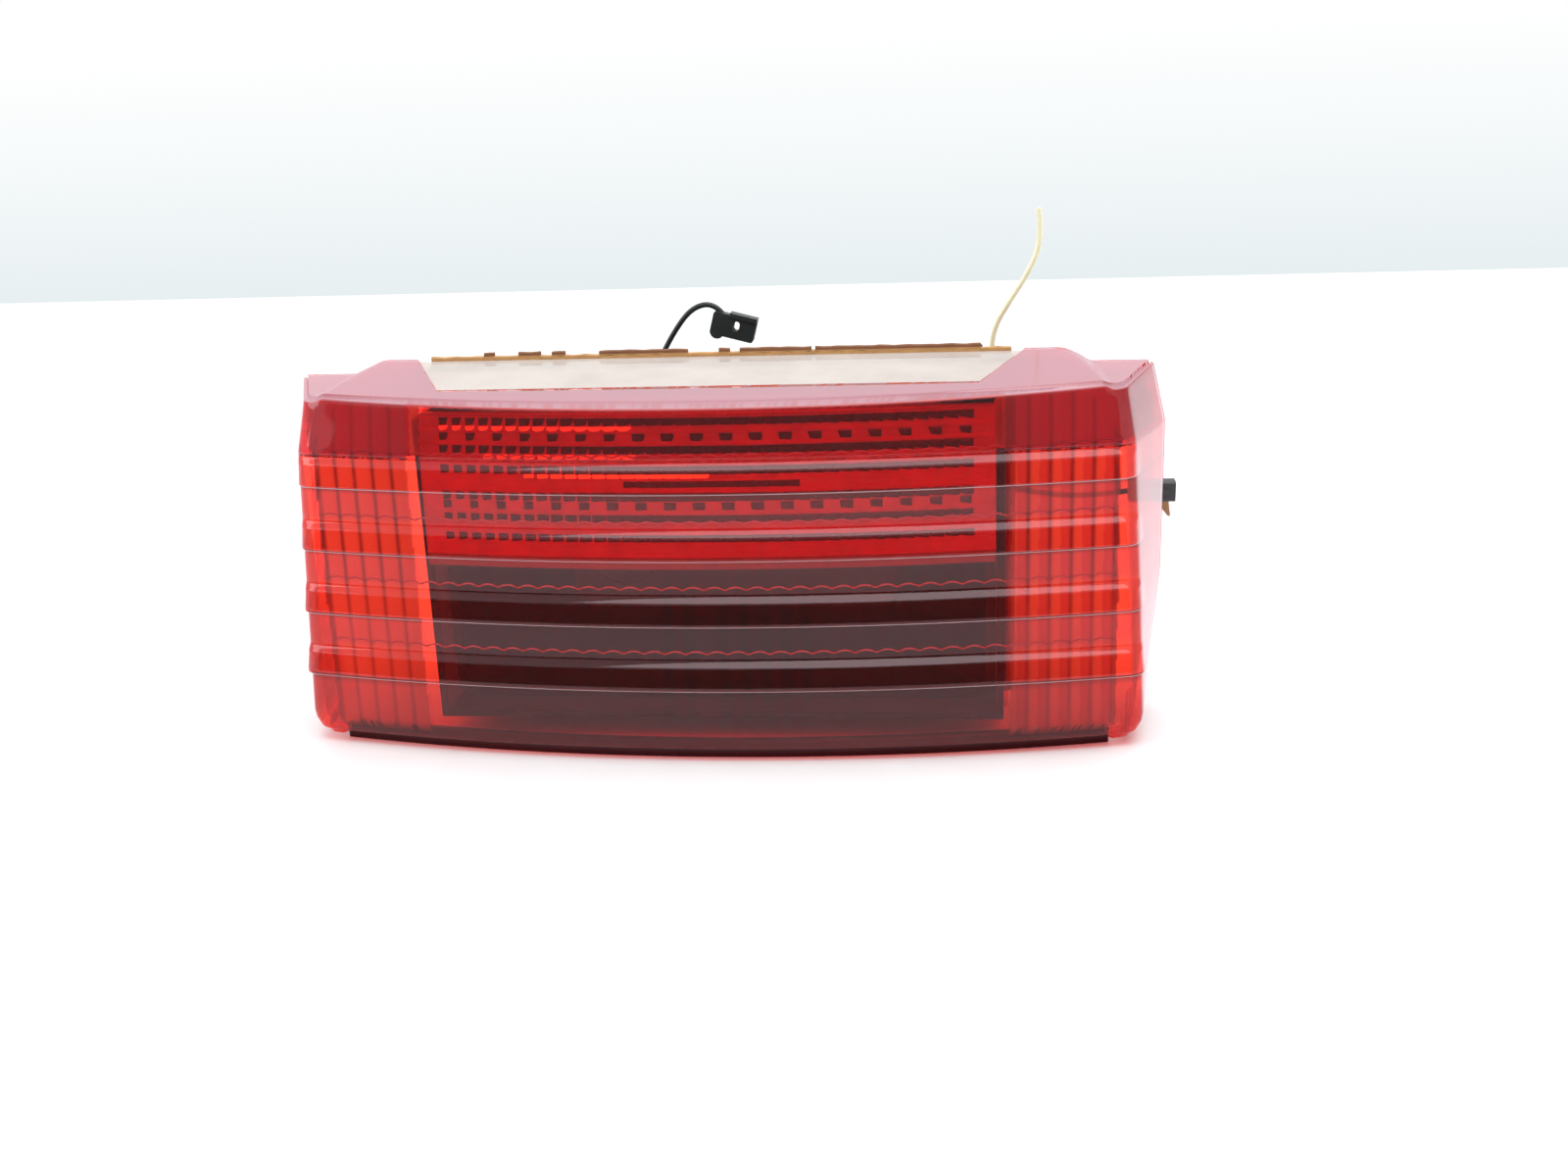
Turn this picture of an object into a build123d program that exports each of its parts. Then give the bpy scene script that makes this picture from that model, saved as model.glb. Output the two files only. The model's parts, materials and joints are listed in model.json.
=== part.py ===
from build123d import *
import math
import os

# A motorcycle tail light, lying upside down on the edge that is uppermost when it is fitted.
# X runs to the right of someone facing the lens, Y runs back through the lamp, Z is up.
# Millimetres throughout. Until export, Y = 0 is the plane of the lens's two front corners.

# ---- lens cover -------------------------------------------------------------------------
FACE_HALF_WIDTH = 122.4        # front corners at the foot of the smooth band
FACE_FOOT_HALF = 127.6         # front corners at the foot of the lens
FACE_TOP_HALF = 119.8          # front corners at the upper edge
FACE_BULGE = 14.5              # how far the middle of the face stands ahead of its corners
SIDE_DEPTH = 34.0              # front corners to the rear rim
REAR_HALF_WIDTH = 134.6        # widest place of the flared end walls
REAR_TOP_HALF = 130.4          # rear rim at the face's upper edge
FOOT_HALF_WIDTH = 131.0        # rear rim at the foot, where the flare dies out
FLARE_HEIGHT = 45.0            # the end walls are widest from here up to the smooth band
SKIRT_HEIGHT = 4.0             # the set-back rim that the lens stands on
SKIRT_INSET = 4.0
SKIRT_HALF = 118.0             # the rim stops here, ahead of the lens's ends
TAB_HALF = 124.8               # short tabs at both ends, clear of the ground
TAB_FOOT = 2.4
TAB_INSET = 1.6
END_CUT_HEIGHT = 4.4           # the ends of the face are cut back this far up from its foot
END_CUT = 2.6
FACE_HEIGHT = 101.5            # foot of the ribbed face to its upper edge
TOP_BAND_HEIGHT = 14.5         # smooth band above the ribs
FACE_LEAN = 3.0                # how far the ribbed face leans back over its height
BAND_LEAN = 3.5                # how far the smooth band leans back beyond that
WALL = 2.6
CORNER_RADIUS = 6.0
SHELF_RISE = 3.8               # end shelves, front to rear
WEDGE_RISE = 7.9               # raised middle of the upper side, front to rear
WEDGE_FRONT_HALF = 118.0       # both measured level with the face's upper edge
WEDGE_REAR_HALF = 116.5
WEDGE_SIDE_ANGLE = 50.0
CREST_HEIGHT = 5.2             # above this the wedge's sides lean in further
CREST_ANGLE = 66.0

# ribs across the face
RIB_COUNT = 4
RIB_PITCH = 19.5
RIB_FIRST_LIP = 23.0           # height of the lowest rib's lip
RIB_HEIGHT = 8.8
RIB_SHOULDER = 2.0             # the short part that turns up
RIB_SHOULDER_OUT = 1.9
RIB_OUT = 3.2
RIB_END_OUT = 1.8
RIB_OVERLAP = 0.02             # keeps each rib's upper end just inside the face
RIB_BACK = 10.0                # ribs wrap round the corners as far as this
RIB_TUCK = 3.0                 # and end this far inside the end walls

# prism flutes inside both ends of the face
FLUTE_PITCH = 6.2
FLUTE_DEPTH = 0.9
FLUTES_PER_END = 5
FLUTE_SHARE = 0.5              # share of the pitch that the groove is wide

# ---- number-plate window ----------------------------------------------------------------
WINDOW_REAR_HALF = 93.0
WINDOW_FRONT_HALF = 79.4
WINDOW_FRONT_Y = 8.0
WINDOW_FLANGE = 2.2
WINDOW_FLANGE_THICK = 1.2
WINDOW_SINK = 0.8              # how far the pane lies below the wedge's upper face
SEAT_GAP = 0.1                 # glued and pressed-in pieces

# ---- light chamber and housing ----------------------------------------------------------
CHAMBER_HALF = 86.4            # outside of the housing's side cheeks
CHEEK_THICK = 2.0
CHAMBER_RIB = 1.6              # thin walls in the lens, outside the cheeks
CHAMBER_RIB_DEPTH = 16.0
SEAL_THICK = 2.0
SEAL_WIDTH = 5.0
FLANGE_THICK = 2.5
CASING_HALF = 80.0
CASING_DEPTH = 28.0            # flange to the outside of the rear wall
CASING_FOOT = 0.0
CASING_TOP = 103.0
CASING_WALL = 2.4
LUG_RISE = 0.6                 # locating lugs on the flange, just above the lens
LUG_LEFT_X = -34.0
LUG_LEFT_WIDTH = 5.0
LUG_RIGHT_X = 75.0
LUG_RIGHT_WIDTH = 11.0
HOOD_FRONT = 2.8               # front of the housing's cheeks and floor
HOOD_GAP = 0.6
SEAL_DROP = 1.1                # strip's upper edge below the highest place of the lens
PAD_RISE = 1.2                 # swollen lengths of the strip, standing above the rest of it
PADS = ((-72.2, -69.1), (-61.3, -54.5), (-50.8, -46.8), (-36.0, -8.6), (1.0, 4.3), (7.4, 29.2), (30.4, 80.0))

# ---- reflex reflector -------------------------------------------------------------------
REFLEX_HALF = 80.0
REFLEX_FOOT = 58.0
REFLEX_TOP = 101.0
REFLEX_THICK = 2.0
REFLEX_ROW = 4.3
REFLEX_GAP = 0.4               # cement behind the face

# ---- bulb carrier -----------------------------------------------------------------------
OPENING_HALF = 58.0
OPENING_FOOT = 22.0
OPENING_TOP = 90.0
CARRIER_LAP = 4.0
CARRIER_THICK = 4.5
CARRIER_SEAL = 1.5
EAR_HALF = 77.0
SCREW_X = 69.0
SCREW_Z = 48.0
STUD_X = 70.0
STUD_LOW_Z = 22.0
STUD_HIGH_Z = 75.0
STUD_DIAMETER = 5.0
STUD_REACH = 18.0
STUD_ROOT_DIAMETER = 6.4       # thicker part pressed into the boss
EAR_HEIGHT = 18.0
SPIGOT_DEPTH = 4.0
SPIGOT_WALL = 2.0
SPIGOT_GAP = 0.4
OPENING_RADIUS = 8.0
BOSS_DIAMETER = 10.0
BOSS_DEPTH = 8.0
STUD_HEAD_RADIUS = 4.0
STUD_HEAD_THICK = 3.0
STUD_TIP_CHAMFER = 0.6

# ---- reflector bowl ---------------------------------------------------------------------
BOWL_THICK = 1.5
BOWL_FRONT = 14.0
BOWL_REAR = 54.0
BOWL_FLOOR_HALF = 55.0
BOWL_FLOOR_FOOT = 25.0
BOWL_FLOOR_TOP = 87.0

# ---- knurled screws ---------------------------------------------------------------------
SCREW_DIAMETER = 5.0
SCREW_BITE = 8.0
KNOB_DIAMETER = 14.0
KNOB_HEIGHT = 9.0
KNOB_CHAMFER = 0.7
KNURLS = 24
KNURL_DIAMETER = 1.2
KNURL_OUT = 0.25               # knurl centres outside the knob's rim
DRIVE_DEPTH = 1.2              # driver slot across the knob
DRIVE_WIDTH = 1.4
WASHER_THICK = 1.0
WASHER_DIAMETER = 10.0
RUNNING_GAP = 0.08             # radial clearance of what turns or slides

# ---- bulbs and sockets ------------------------------------------------------------------
CAP_DIAMETER = 15.1
SOCKET_WALL = 0.7
SOCKET_CLEARANCE = 0.15
SOCKET_LENGTH = 22.0
BASE_THICK = 1.5
DISC_THICK = 1.5
CONTACT_DIAMETER = 3.0
CONTACT_HEAD = 0.6
FEED_HEAD = 4.6
SPRING_RADIUS = 4.6
SPRING_WIRE = 0.6
SPRING_SIDES = 8
SPRING_TURNS = 3.5
TOUCH_GAP = 0.05
CAP_LENGTH = 15.5
CAP_WALL = 0.4
CAP_FLOOR = 1.2
CAP_SOLDER = 0.9               # how far the solder contact stands behind the cap
SOLDER_DIAMETER = 5.0
NECK_IN_CAP = 3.0
GLASS_WALL = 0.6
STEM_HEIGHT = 8.0
STEM_FOOT = 3.0
STEM_TIP = 1.6
EXHAUST_RADIUS = 0.5
SUPPORT_SPREAD = 1.1           # filament supports, each side of the middle
SUPPORT_DIAMETER = 0.5
FILAMENT_LENGTH = 7.0
FILAMENT_DIAMETER = 0.9
PIN_DIAMETER = 2.0
PIN_REACH = 1.2
PIN_BACK = 8.0                 # contact to the bayonet pins
SPRING_ROOM = 6.5
PUSH_TRAVEL = 2.5
TURN_ANGLE = 25.0
BULB_X = 30.0
BULB_Z = 56.0
BRAKE_GLASS_DIAMETER = 25.5
BRAKE_GLASS_LENGTH = 32.0
TAIL_GLASS_DIAMETER = 18.5
TAIL_GLASS_LENGTH = 19.0

# ---- leads ------------------------------------------------------------------------------
LEAD_DIAMETER = 1.8
BARREL_DIAMETER = 3.2
BARREL_LENGTH = 7.0
STRIP_WIDTH = 6.3
BUS_WIDTH = 5.1
STRIP_THICK = 0.8
RIVET_DIAMETER = 2.0
RIVET_HEAD = 3.6
RIVET_HEAD_THICK = 0.7
RIVET_DEPTH = 3.0
EARTH_STRIP_Z = 42.0
EARTH_RISER_X = 47.0
TAIL_STRIP_Z = 84.0
BRAKE_RIVET_Z = 72.0
TAIL_RIVET_X = 42.0
BLACK_EXIT_Z = 90.0            # where each lead leaves its barrel
DARK_EXIT_Z = 63.0
SIDE_EXIT_X = 60.0

# ---- connectors on the leads ------------------------------------------------------------
RECEPTACLE_LENGTH = 14.5
RECEPTACLE_HEIGHT = 7.4
RECEPTACLE_THICK = 4.2
RECEPTACLE_TILT = 15.0
RECEPTACLE_X = -6.8            # lead's end of the receptacle
RECEPTACLE_Z = 117.3
PLUG_LEFT = 127.5
PLUG_FORWARD = 11.0            # how far the grey plug sits ahead of the terminals
PLUG_Z = 61.8
PLUG_LENGTH = 14.5
PLUG_HEIGHT = 6.6
PLUG_THICK = 6.0
MOUTH_DEPTH = 9.5
LEAD_SOCKET_X = 2.6
BARREL_BORE = 4.0
FILAMENT_SHARE = 0.45

# ---- places worked out from the sizes above ---------------------------------------------
FACE_TOP = SKIRT_HEIGHT + FACE_HEIGHT
BAND_FOOT = FACE_TOP - TOP_BAND_HEIGHT
OVERALL_HEIGHT = FACE_TOP + WEDGE_RISE
REAR_RIM = SIDE_DEPTH
FLANGE_FRONT = REAR_RIM + SEAL_THICK
FLANGE_REAR = FLANGE_FRONT + FLANGE_THICK
CASING_REAR = FLANGE_REAR + CASING_DEPTH
CARRIER_FRONT = CASING_REAR + CARRIER_SEAL
CARRIER_REAR = CARRIER_FRONT + CARRIER_THICK
STUD_END = CASING_REAR + STUD_REACH
SEAL_TOP = OVERALL_HEIGHT - SEAL_DROP
SEAL_HALF = CHAMBER_HALF + 4.0
HOOD_FOOT = SKIRT_HEIGHT + WALL + HOOD_GAP
HOOD_TOP = FACE_TOP - WALL - WINDOW_FLANGE_THICK - 1
SOCKET_REAR = CARRIER_REAR
LEAD_Y = CARRIER_REAR + STRIP_THICK + BARREL_DIAMETER / 2
PLUG_Y = LEAD_Y - PLUG_FORWARD
DISC_FRONT = SOCKET_REAR - BASE_THICK - SPRING_ROOM - DISC_THICK
PIN_Y = DISC_FRONT - CONTACT_HEAD - PIN_BACK


def lean_at(height):
    """How far the face stands back at a height: ribbed part first, then the smooth band."""
    if height <= BAND_FOOT:
        return FACE_LEAN * max(height - SKIRT_HEIGHT, 0) / (BAND_FOOT - SKIRT_HEIGHT)
    return FACE_LEAN + BAND_LEAN * (height - BAND_FOOT) / TOP_BAND_HEIGHT


FRONT_END = lean_at(RIB_FIRST_LIP) - FACE_BULGE - RIB_OUT + RIB_OVERLAP
CENTRE_SHIFT = -(STUD_END + FRONT_END) / 2


def front_half_at(height):
    """Half width of the face at a height: it narrows upwards, faster in the smooth band."""
    if height <= BAND_FOOT:
        share = (height - SKIRT_HEIGHT) / (BAND_FOOT - SKIRT_HEIGHT)
        return FACE_FOOT_HALF + (FACE_HALF_WIDTH - FACE_FOOT_HALF) * share
    return FACE_HALF_WIDTH + (FACE_TOP_HALF - FACE_HALF_WIDTH) * (height - BAND_FOOT) / TOP_BAND_HEIGHT


def rear_half_at(height):
    """Half width of the rear rim at a height: widest in the middle."""
    if height <= FLARE_HEIGHT:
        share = (height - SKIRT_HEIGHT) / (FLARE_HEIGHT - SKIRT_HEIGHT)
        return FOOT_HALF_WIDTH + (REAR_HALF_WIDTH - FOOT_HALF_WIDTH) * share
    above_band = max(height - BAND_FOOT, 0)
    return REAR_HALF_WIDTH + (REAR_TOP_HALF - REAR_HALF_WIDTH) * above_band / TOP_BAND_HEIGHT


def plan_section(height, front_half, rear_half, inset=0.0, outset=0.0, end_out=0.0, back=SIDE_DEPTH):
    """Outline of the lens seen from above: bowed face, rounded corners, flared ends."""
    half = front_half - inset + end_out
    rear = rear_half - inset
    corner = lean_at(height) + inset
    middle = corner - FACE_BULGE - outset
    left = (-half, corner)
    right = (half, corner)
    with BuildSketch(Plane.XY.offset(height)) as section:
        with BuildLine():
            ThreePointArc(left, (0, middle), right)
            Polyline(right, (rear, back), (-rear, back), left)
        make_face()
        corners = section.vertices().sort_by(Axis.Y)[:2]
        fillet(corners, CORNER_RADIUS)
    return section.sketch


def lens_stack(inset=0.0, back=SIDE_DEPTH):
    """The lens as a pile of lofts between its plan outlines, not yet cut to height."""
    cut_top = SKIRT_HEIGHT + END_CUT_HEIGHT
    sections = []
    for height in (SKIRT_HEIGHT + inset, cut_top, FLARE_HEIGHT, BAND_FOOT, OVERALL_HEIGHT + 1):
        cut = END_CUT * max(cut_top - height, 0) / END_CUT_HEIGHT
        sections.append(plan_section(height, front_half_at(height) - cut, rear_half_at(height) - cut,
                                     inset, back=back))
    stack = Part()
    for lower, upper in zip(sections, sections[1:]):
        stack += loft([lower, upper], ruled=True)
    return stack


def above_slope(rise, inset=0.0):
    """Everything above the plane that rises from the face's upper edge to the rear rim."""
    front_y = lean_at(FACE_TOP) - FACE_BULGE
    run = SIDE_DEPTH - front_y
    angle = math.degrees(math.atan2(rise, run))
    block = Box(400, 400, 100, align=(Align.CENTER, Align.CENTER, Align.MIN))
    drop = inset / math.cos(math.radians(angle))
    return Pos(0, front_y, FACE_TOP - drop) * Rot(X=angle) * block


def wedge_prism(side_angle, widen, inset):
    """A ridge whose sides slope in upwards, set out level with the face's upper edge."""
    depth_below = 12.0
    margin = 60.0
    spread = depth_below * math.tan(math.radians(side_angle)) + widen - inset
    narrowing = (WEDGE_FRONT_HALF - WEDGE_REAR_HALF) / SIDE_DEPTH
    front_half = WEDGE_FRONT_HALF + spread + narrowing * margin
    rear_half = WEDGE_REAR_HALF + spread - narrowing * margin
    with BuildSketch(Plane.XY.offset(FACE_TOP - depth_below)) as plan:
        with BuildLine():
            Polyline((-front_half, -margin), (front_half, -margin), (rear_half, SIDE_DEPTH + margin),
                     (-rear_half, SIDE_DEPTH + margin), close=True)
        make_face()
    return extrude(plan.sketch, amount=2 * depth_below, taper=side_angle)


def lens_form(inset=0.0, back=SIDE_DEPTH):
    """Outer form of the lens, or its inside when inset by the wall."""
    stack = lens_stack(inset, back)
    shelves = stack - above_slope(SHELF_RISE, inset)
    crest_widen = CREST_HEIGHT * (math.tan(math.radians(CREST_ANGLE)) - math.tan(math.radians(WEDGE_SIDE_ANGLE)))
    ridge = wedge_prism(WEDGE_SIDE_ANGLE, 0.0, inset) & wedge_prism(CREST_ANGLE, crest_widen, inset)
    wedge = (stack & ridge) - above_slope(WEDGE_RISE, inset)
    return shelves + wedge


def lens_rib(lip_height):
    """One rib of the face: a short upturned shoulder, a sloping front and a sharp lower lip."""
    top = lip_height + RIB_HEIGHT
    shoulder = top - RIB_SHOULDER

    def level(height, share):
        front_half = front_half_at(height)
        rear_half = front_half - RIB_TUCK + RIB_END_OUT * share
        return plan_section(height, front_half, rear_half, outset=RIB_OUT * share - RIB_OVERLAP,
                            end_out=RIB_END_OUT * share - RIB_OVERLAP, back=RIB_BACK)

    lip = level(lip_height, 1.0)
    middle = level(shoulder, RIB_SHOULDER_OUT / RIB_OUT)
    upper = level(top, 0.0)
    return loft([lip, middle], ruled=True) + loft([middle, upper], ruled=True)


def face_y(x, height, inset=0.0):
    """Y of the bowed face at a place across it and a height."""
    half = front_half_at(height) - inset
    radius = (half ** 2 + FACE_BULGE ** 2) / (2 * FACE_BULGE)
    return lean_at(height) + inset + radius - FACE_BULGE - math.sqrt(radius ** 2 - x ** 2)


def end_flutes():
    """Upright V grooves inside both ends of the face, which spread the light sideways."""
    foot = SKIRT_HEIGHT + WALL + 1
    first = CHAMBER_HALF + WALL + FLUTE_PITCH * 0.7
    half = FLUTE_PITCH * FLUTE_SHARE / 2
    tilt = math.degrees(math.atan2(FACE_LEAN, BAND_FOOT - SKIRT_HEIGHT))
    with BuildSketch(Plane.XY) as groove:
        with BuildLine():
            Polyline((-half, FLUTE_DEPTH), (0, -FLUTE_DEPTH), (half, FLUTE_DEPTH), close=True)
        make_face()
    bar = Rot(X=-tilt) * extrude(groove.sketch, amount=BAND_FOOT - foot)
    flutes = Part()
    for side in (-1, 1):
        for count in range(FLUTES_PER_END):
            x = first + count * FLUTE_PITCH
            flutes += Pos(side * x, face_y(x, foot, WALL), foot) * bar
    return flutes


def window_plan(grow=0.0):
    """The number-plate window seen from above."""
    with BuildSketch(Plane.XY) as plan:
        with BuildLine():
            Polyline((-WINDOW_FRONT_HALF - grow, WINDOW_FRONT_Y - grow),
                     (WINDOW_FRONT_HALF + grow, WINDOW_FRONT_Y - grow),
                     (WINDOW_REAR_HALF + grow, SIDE_DEPTH),
                     (-WINDOW_REAR_HALF - grow, SIDE_DEPTH), close=True)
        make_face()
    return plan.sketch


def sloped_slab(plan, upper_inset, lower_inset):
    """A slab of a plan outline, lying between two depths under the wedge's upper face."""
    column = Pos(0, 0, FACE_TOP - 15) * extrude(plan, amount=30)
    return (column - above_slope(WEDGE_RISE, upper_inset)) & above_slope(WEDGE_RISE, lower_inset)


def rim_wall(half, foot, inset):
    """A low wall under the lens that follows its face, open towards the housing."""
    outer = plan_section(foot, half + inset, half + inset, inset)
    inner = plan_section(foot, half + inset, half + inset, inset + WALL, back=SIDE_DEPTH + 1)
    return extrude(outer - inner, amount=SKIRT_HEIGHT + WALL / 2 - foot)


def lens_skirt():
    """The set-back rim that the lens stands on, and the short tabs beyond its ends."""
    middle = Box(2 * SKIRT_HALF, 200, 50)
    return rim_wall(SKIRT_HALF, 0, SKIRT_INSET) + (rim_wall(TAB_HALF, TAB_FOOT, TAB_INSET) - middle)


def chamber_ribs():
    """Two thin walls inside the lens, against which the housing's cheeks lie."""
    inside = lens_form(WALL / 2, back=SIDE_DEPTH)
    ribs = Part()
    for side in (-1, 1):
        x = side * (CHAMBER_HALF + SEAT_GAP + CHAMBER_RIB / 2)
        slab = Pos(x, SIDE_DEPTH, HOOD_TOP) * Box(CHAMBER_RIB, CHAMBER_RIB_DEPTH, HOOD_TOP,
                                             align=(Align.CENTER, Align.MAX, Align.MAX))
        ribs += slab & inside
    return ribs


def lens_cover():
    shell = lens_form()
    for count in range(RIB_COUNT):
        shell += lens_rib(RIB_FIRST_LIP + count * RIB_PITCH)
    shell -= lens_form(WALL, back=SIDE_DEPTH + 1)
    shell += lens_skirt()
    shell += chamber_ribs()
    shell -= sloped_slab(window_plan(SEAT_GAP), -2, WALL + 1)
    shell -= end_flutes()
    return shell


def plate_window():
    pane = sloped_slab(window_plan(), WINDOW_SINK, WALL + SEAT_GAP)
    flange = sloped_slab(window_plan(WINDOW_FLANGE), WALL + SEAT_GAP, WALL + SEAT_GAP + WINDOW_FLANGE_THICK)
    return pane + flange


def centred_box(x_half, y_front, y_rear, z_foot, z_top):
    """A box set out by its half width, its front and rear and its foot and top."""
    size = (2 * x_half, y_rear - y_front, z_top - z_foot)
    centre = (0, (y_front + y_rear) / 2, (z_foot + z_top) / 2)
    return Pos(*centre) * Box(*size)


def rounded_plate(x_half, z_foot, z_top, y_front, thickness, radius):
    """An upright plate with rounded corners."""
    plane = Plane(origin=(0, y_front, (z_foot + z_top) / 2), x_dir=(1, 0, 0), z_dir=(0, 1, 0))
    with BuildSketch(plane) as outline:
        RectangleRounded(2 * x_half, z_top - z_foot, radius)
    return extrude(outline.sketch, amount=thickness)


def round_bar(x, z, y_front, y_rear, diameter):
    """A round bar along Y."""
    length = y_rear - y_front
    plane = Plane(origin=(x, y_front, z), x_dir=(1, 0, 0), z_dir=(0, 1, 0))
    return extrude(plane * Circle(diameter / 2), amount=length)


def sealing_strip():
    """The strip squeezed between the lens and the housing, swollen here and there along its top."""
    ring = rounded_plate(SEAL_HALF, SKIRT_HEIGHT, SEAL_TOP, REAR_RIM, SEAL_THICK, 3.0)
    for left, right in PADS:
        ring += Pos((left + right) / 2, REAR_RIM + SEAL_THICK / 2, SEAL_TOP) * Box(
            right - left, SEAL_THICK, 2 * PAD_RISE)
    hole = rounded_plate(CHAMBER_HALF + SEAT_GAP, HOOD_FOOT - SEAT_GAP, SEAL_TOP - SEAL_WIDTH,
                         REAR_RIM - 1, SEAL_THICK + 2, SEAT_GAP)
    return ring - hole


def cheeks_and_floor():
    """The housing's side cheeks and floor, which reach forward into the lens."""
    tray = centred_box(CHAMBER_HALF, HOOD_FRONT, FLANGE_FRONT + 1, HOOD_FOOT, HOOD_TOP)
    return tray - centred_box(CHAMBER_HALF - CHEEK_THICK, HOOD_FRONT - 1, FLANGE_FRONT + 2,
                              HOOD_FOOT + CHEEK_THICK, HOOD_TOP + 1)


def lamp_housing():
    cheeks = cheeks_and_floor()
    flange = rounded_plate(SEAL_HALF, HOOD_FOOT - 3, SEAL_TOP - 1, FLANGE_FRONT, FLANGE_THICK, 4.0)
    casing = rounded_plate(CASING_HALF, CASING_FOOT, CASING_TOP, FLANGE_FRONT, FLANGE_THICK + CASING_DEPTH, 6.0)
    inner_half = CASING_HALF - CASING_WALL
    hollow = rounded_plate(inner_half, CASING_FOOT + CASING_WALL, CASING_TOP - CASING_WALL,
                           FLANGE_FRONT - 10, FLANGE_THICK + CASING_DEPTH + 10 - CASING_WALL, 4.0)
    body = flange + casing + cheeks - hollow
    for x, width in ((LUG_LEFT_X, LUG_LEFT_WIDTH), (LUG_RIGHT_X, LUG_RIGHT_WIDTH)):
        body += Pos(x, 0, 0) * centred_box(width / 2, FLANGE_FRONT + 0.2, FLANGE_REAR, SEAL_TOP - 8,
                                           OVERALL_HEIGHT + LUG_RISE)
    opening = rounded_plate(OPENING_HALF, OPENING_FOOT, OPENING_TOP, CASING_REAR - 10, 20, OPENING_RADIUS)
    body -= opening
    for x in (-SCREW_X, SCREW_X):
        body += round_bar(x, SCREW_Z, CASING_REAR - SCREW_BITE - 3, CASING_REAR, BOSS_DIAMETER)
        body -= round_bar(x, SCREW_Z, CASING_REAR - SCREW_BITE - 1, CASING_REAR + 1,
                          SCREW_DIAMETER + 2 * RUNNING_GAP)
    for x, z in stud_places():
        body += round_bar(x, z, CASING_REAR - BOSS_DEPTH, CASING_REAR, BOSS_DIAMETER)
        body -= round_bar(x, z, CASING_REAR - BOSS_DEPTH - 1, CASING_REAR + 1, STUD_ROOT_DIAMETER)
    return body


def stud_places():
    return [(x, z) for x in (-STUD_X, STUD_X) for z in (STUD_LOW_Z, STUD_HIGH_Z)]


def mounting_studs():
    studs = []
    for x, z in stud_places():
        head_rear = CASING_REAR - BOSS_DEPTH
        plane = Plane(origin=(x, head_rear - STUD_HEAD_THICK, z), x_dir=(1, 0, 0), z_dir=(0, 1, 0))
        head = extrude(plane * RegularPolygon(STUD_HEAD_RADIUS, 6), amount=STUD_HEAD_THICK)
        root = round_bar(x, z, head_rear, CASING_REAR, STUD_ROOT_DIAMETER)
        shank = round_bar(x, z, CASING_REAR, STUD_END, STUD_DIAMETER)
        shank = chamfer(shank.edges().sort_by(Axis.Y)[-1], STUD_TIP_CHAMFER)
        studs.append(head + root + shank)
    return Compound(children=studs)


def reflex_panel():
    """Reflex reflector behind the upper part of the face: a bowed plate with a saw-toothed back."""
    rows = int((REFLEX_TOP - REFLEX_FOOT) / REFLEX_ROW)
    front_gap = WALL + REFLEX_GAP
    panel = Part()

    def slice_at(height, thickness):
        front = lean_at(height) + front_gap
        with BuildSketch(Plane.XY.offset(height)) as outline:
            with BuildLine():
                ends = face_y(REFLEX_HALF, height, front_gap)
                middle = front - FACE_BULGE
                ThreePointArc((-REFLEX_HALF, ends), (0, middle), (REFLEX_HALF, ends))
                Line((REFLEX_HALF, ends), (REFLEX_HALF, ends + thickness))
                ThreePointArc((REFLEX_HALF, ends + thickness), (0, middle + thickness),
                              (-REFLEX_HALF, ends + thickness))
                Line((-REFLEX_HALF, ends + thickness), (-REFLEX_HALF, ends))
            make_face()
        return outline.sketch

    for row in range(rows):
        foot = REFLEX_FOOT + row * REFLEX_ROW
        panel += loft([slice_at(foot, REFLEX_THICK + 0.9), slice_at(foot + REFLEX_ROW, REFLEX_THICK)], ruled=True)
    return panel


def reflector():
    """Metallised bowl behind the bulbs, with a hole for each bulb."""
    def outline(y, x_half, z_foot, z_top):
        plane = Plane(origin=(0, y, (z_foot + z_top) / 2), x_dir=(1, 0, 0), z_dir=(0, 1, 0))
        with BuildSketch(plane) as sketch:
            RectangleRounded(2 * x_half, z_top - z_foot, 6.0)
        return sketch.sketch

    wide_half = CHAMBER_HALF - CHEEK_THICK - 0.5
    wide_foot = HOOD_FOOT + CHEEK_THICK + 0.4
    wide_top = FACE_TOP - WALL - WINDOW_FLANGE_THICK - 2
    thick = BOWL_THICK
    outer = loft([outline(BOWL_FRONT, wide_half, wide_foot, wide_top),
                  outline(BOWL_REAR, BOWL_FLOOR_HALF, BOWL_FLOOR_FOOT, BOWL_FLOOR_TOP)], ruled=True)
    inner = loft([outline(BOWL_FRONT - thick, wide_half - thick, wide_foot + thick, wide_top - thick),
                  outline(BOWL_REAR - thick, BOWL_FLOOR_HALF - thick, BOWL_FLOOR_FOOT + thick,
                          BOWL_FLOOR_TOP - thick)], ruled=True)
    bowl = outer - inner
    for x in (-BULB_X, BULB_X):
        bowl -= round_bar(x, BULB_Z, BOWL_REAR - 10, BOWL_REAR + 10, BRAKE_GLASS_DIAMETER + 3)
    return bowl


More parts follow.
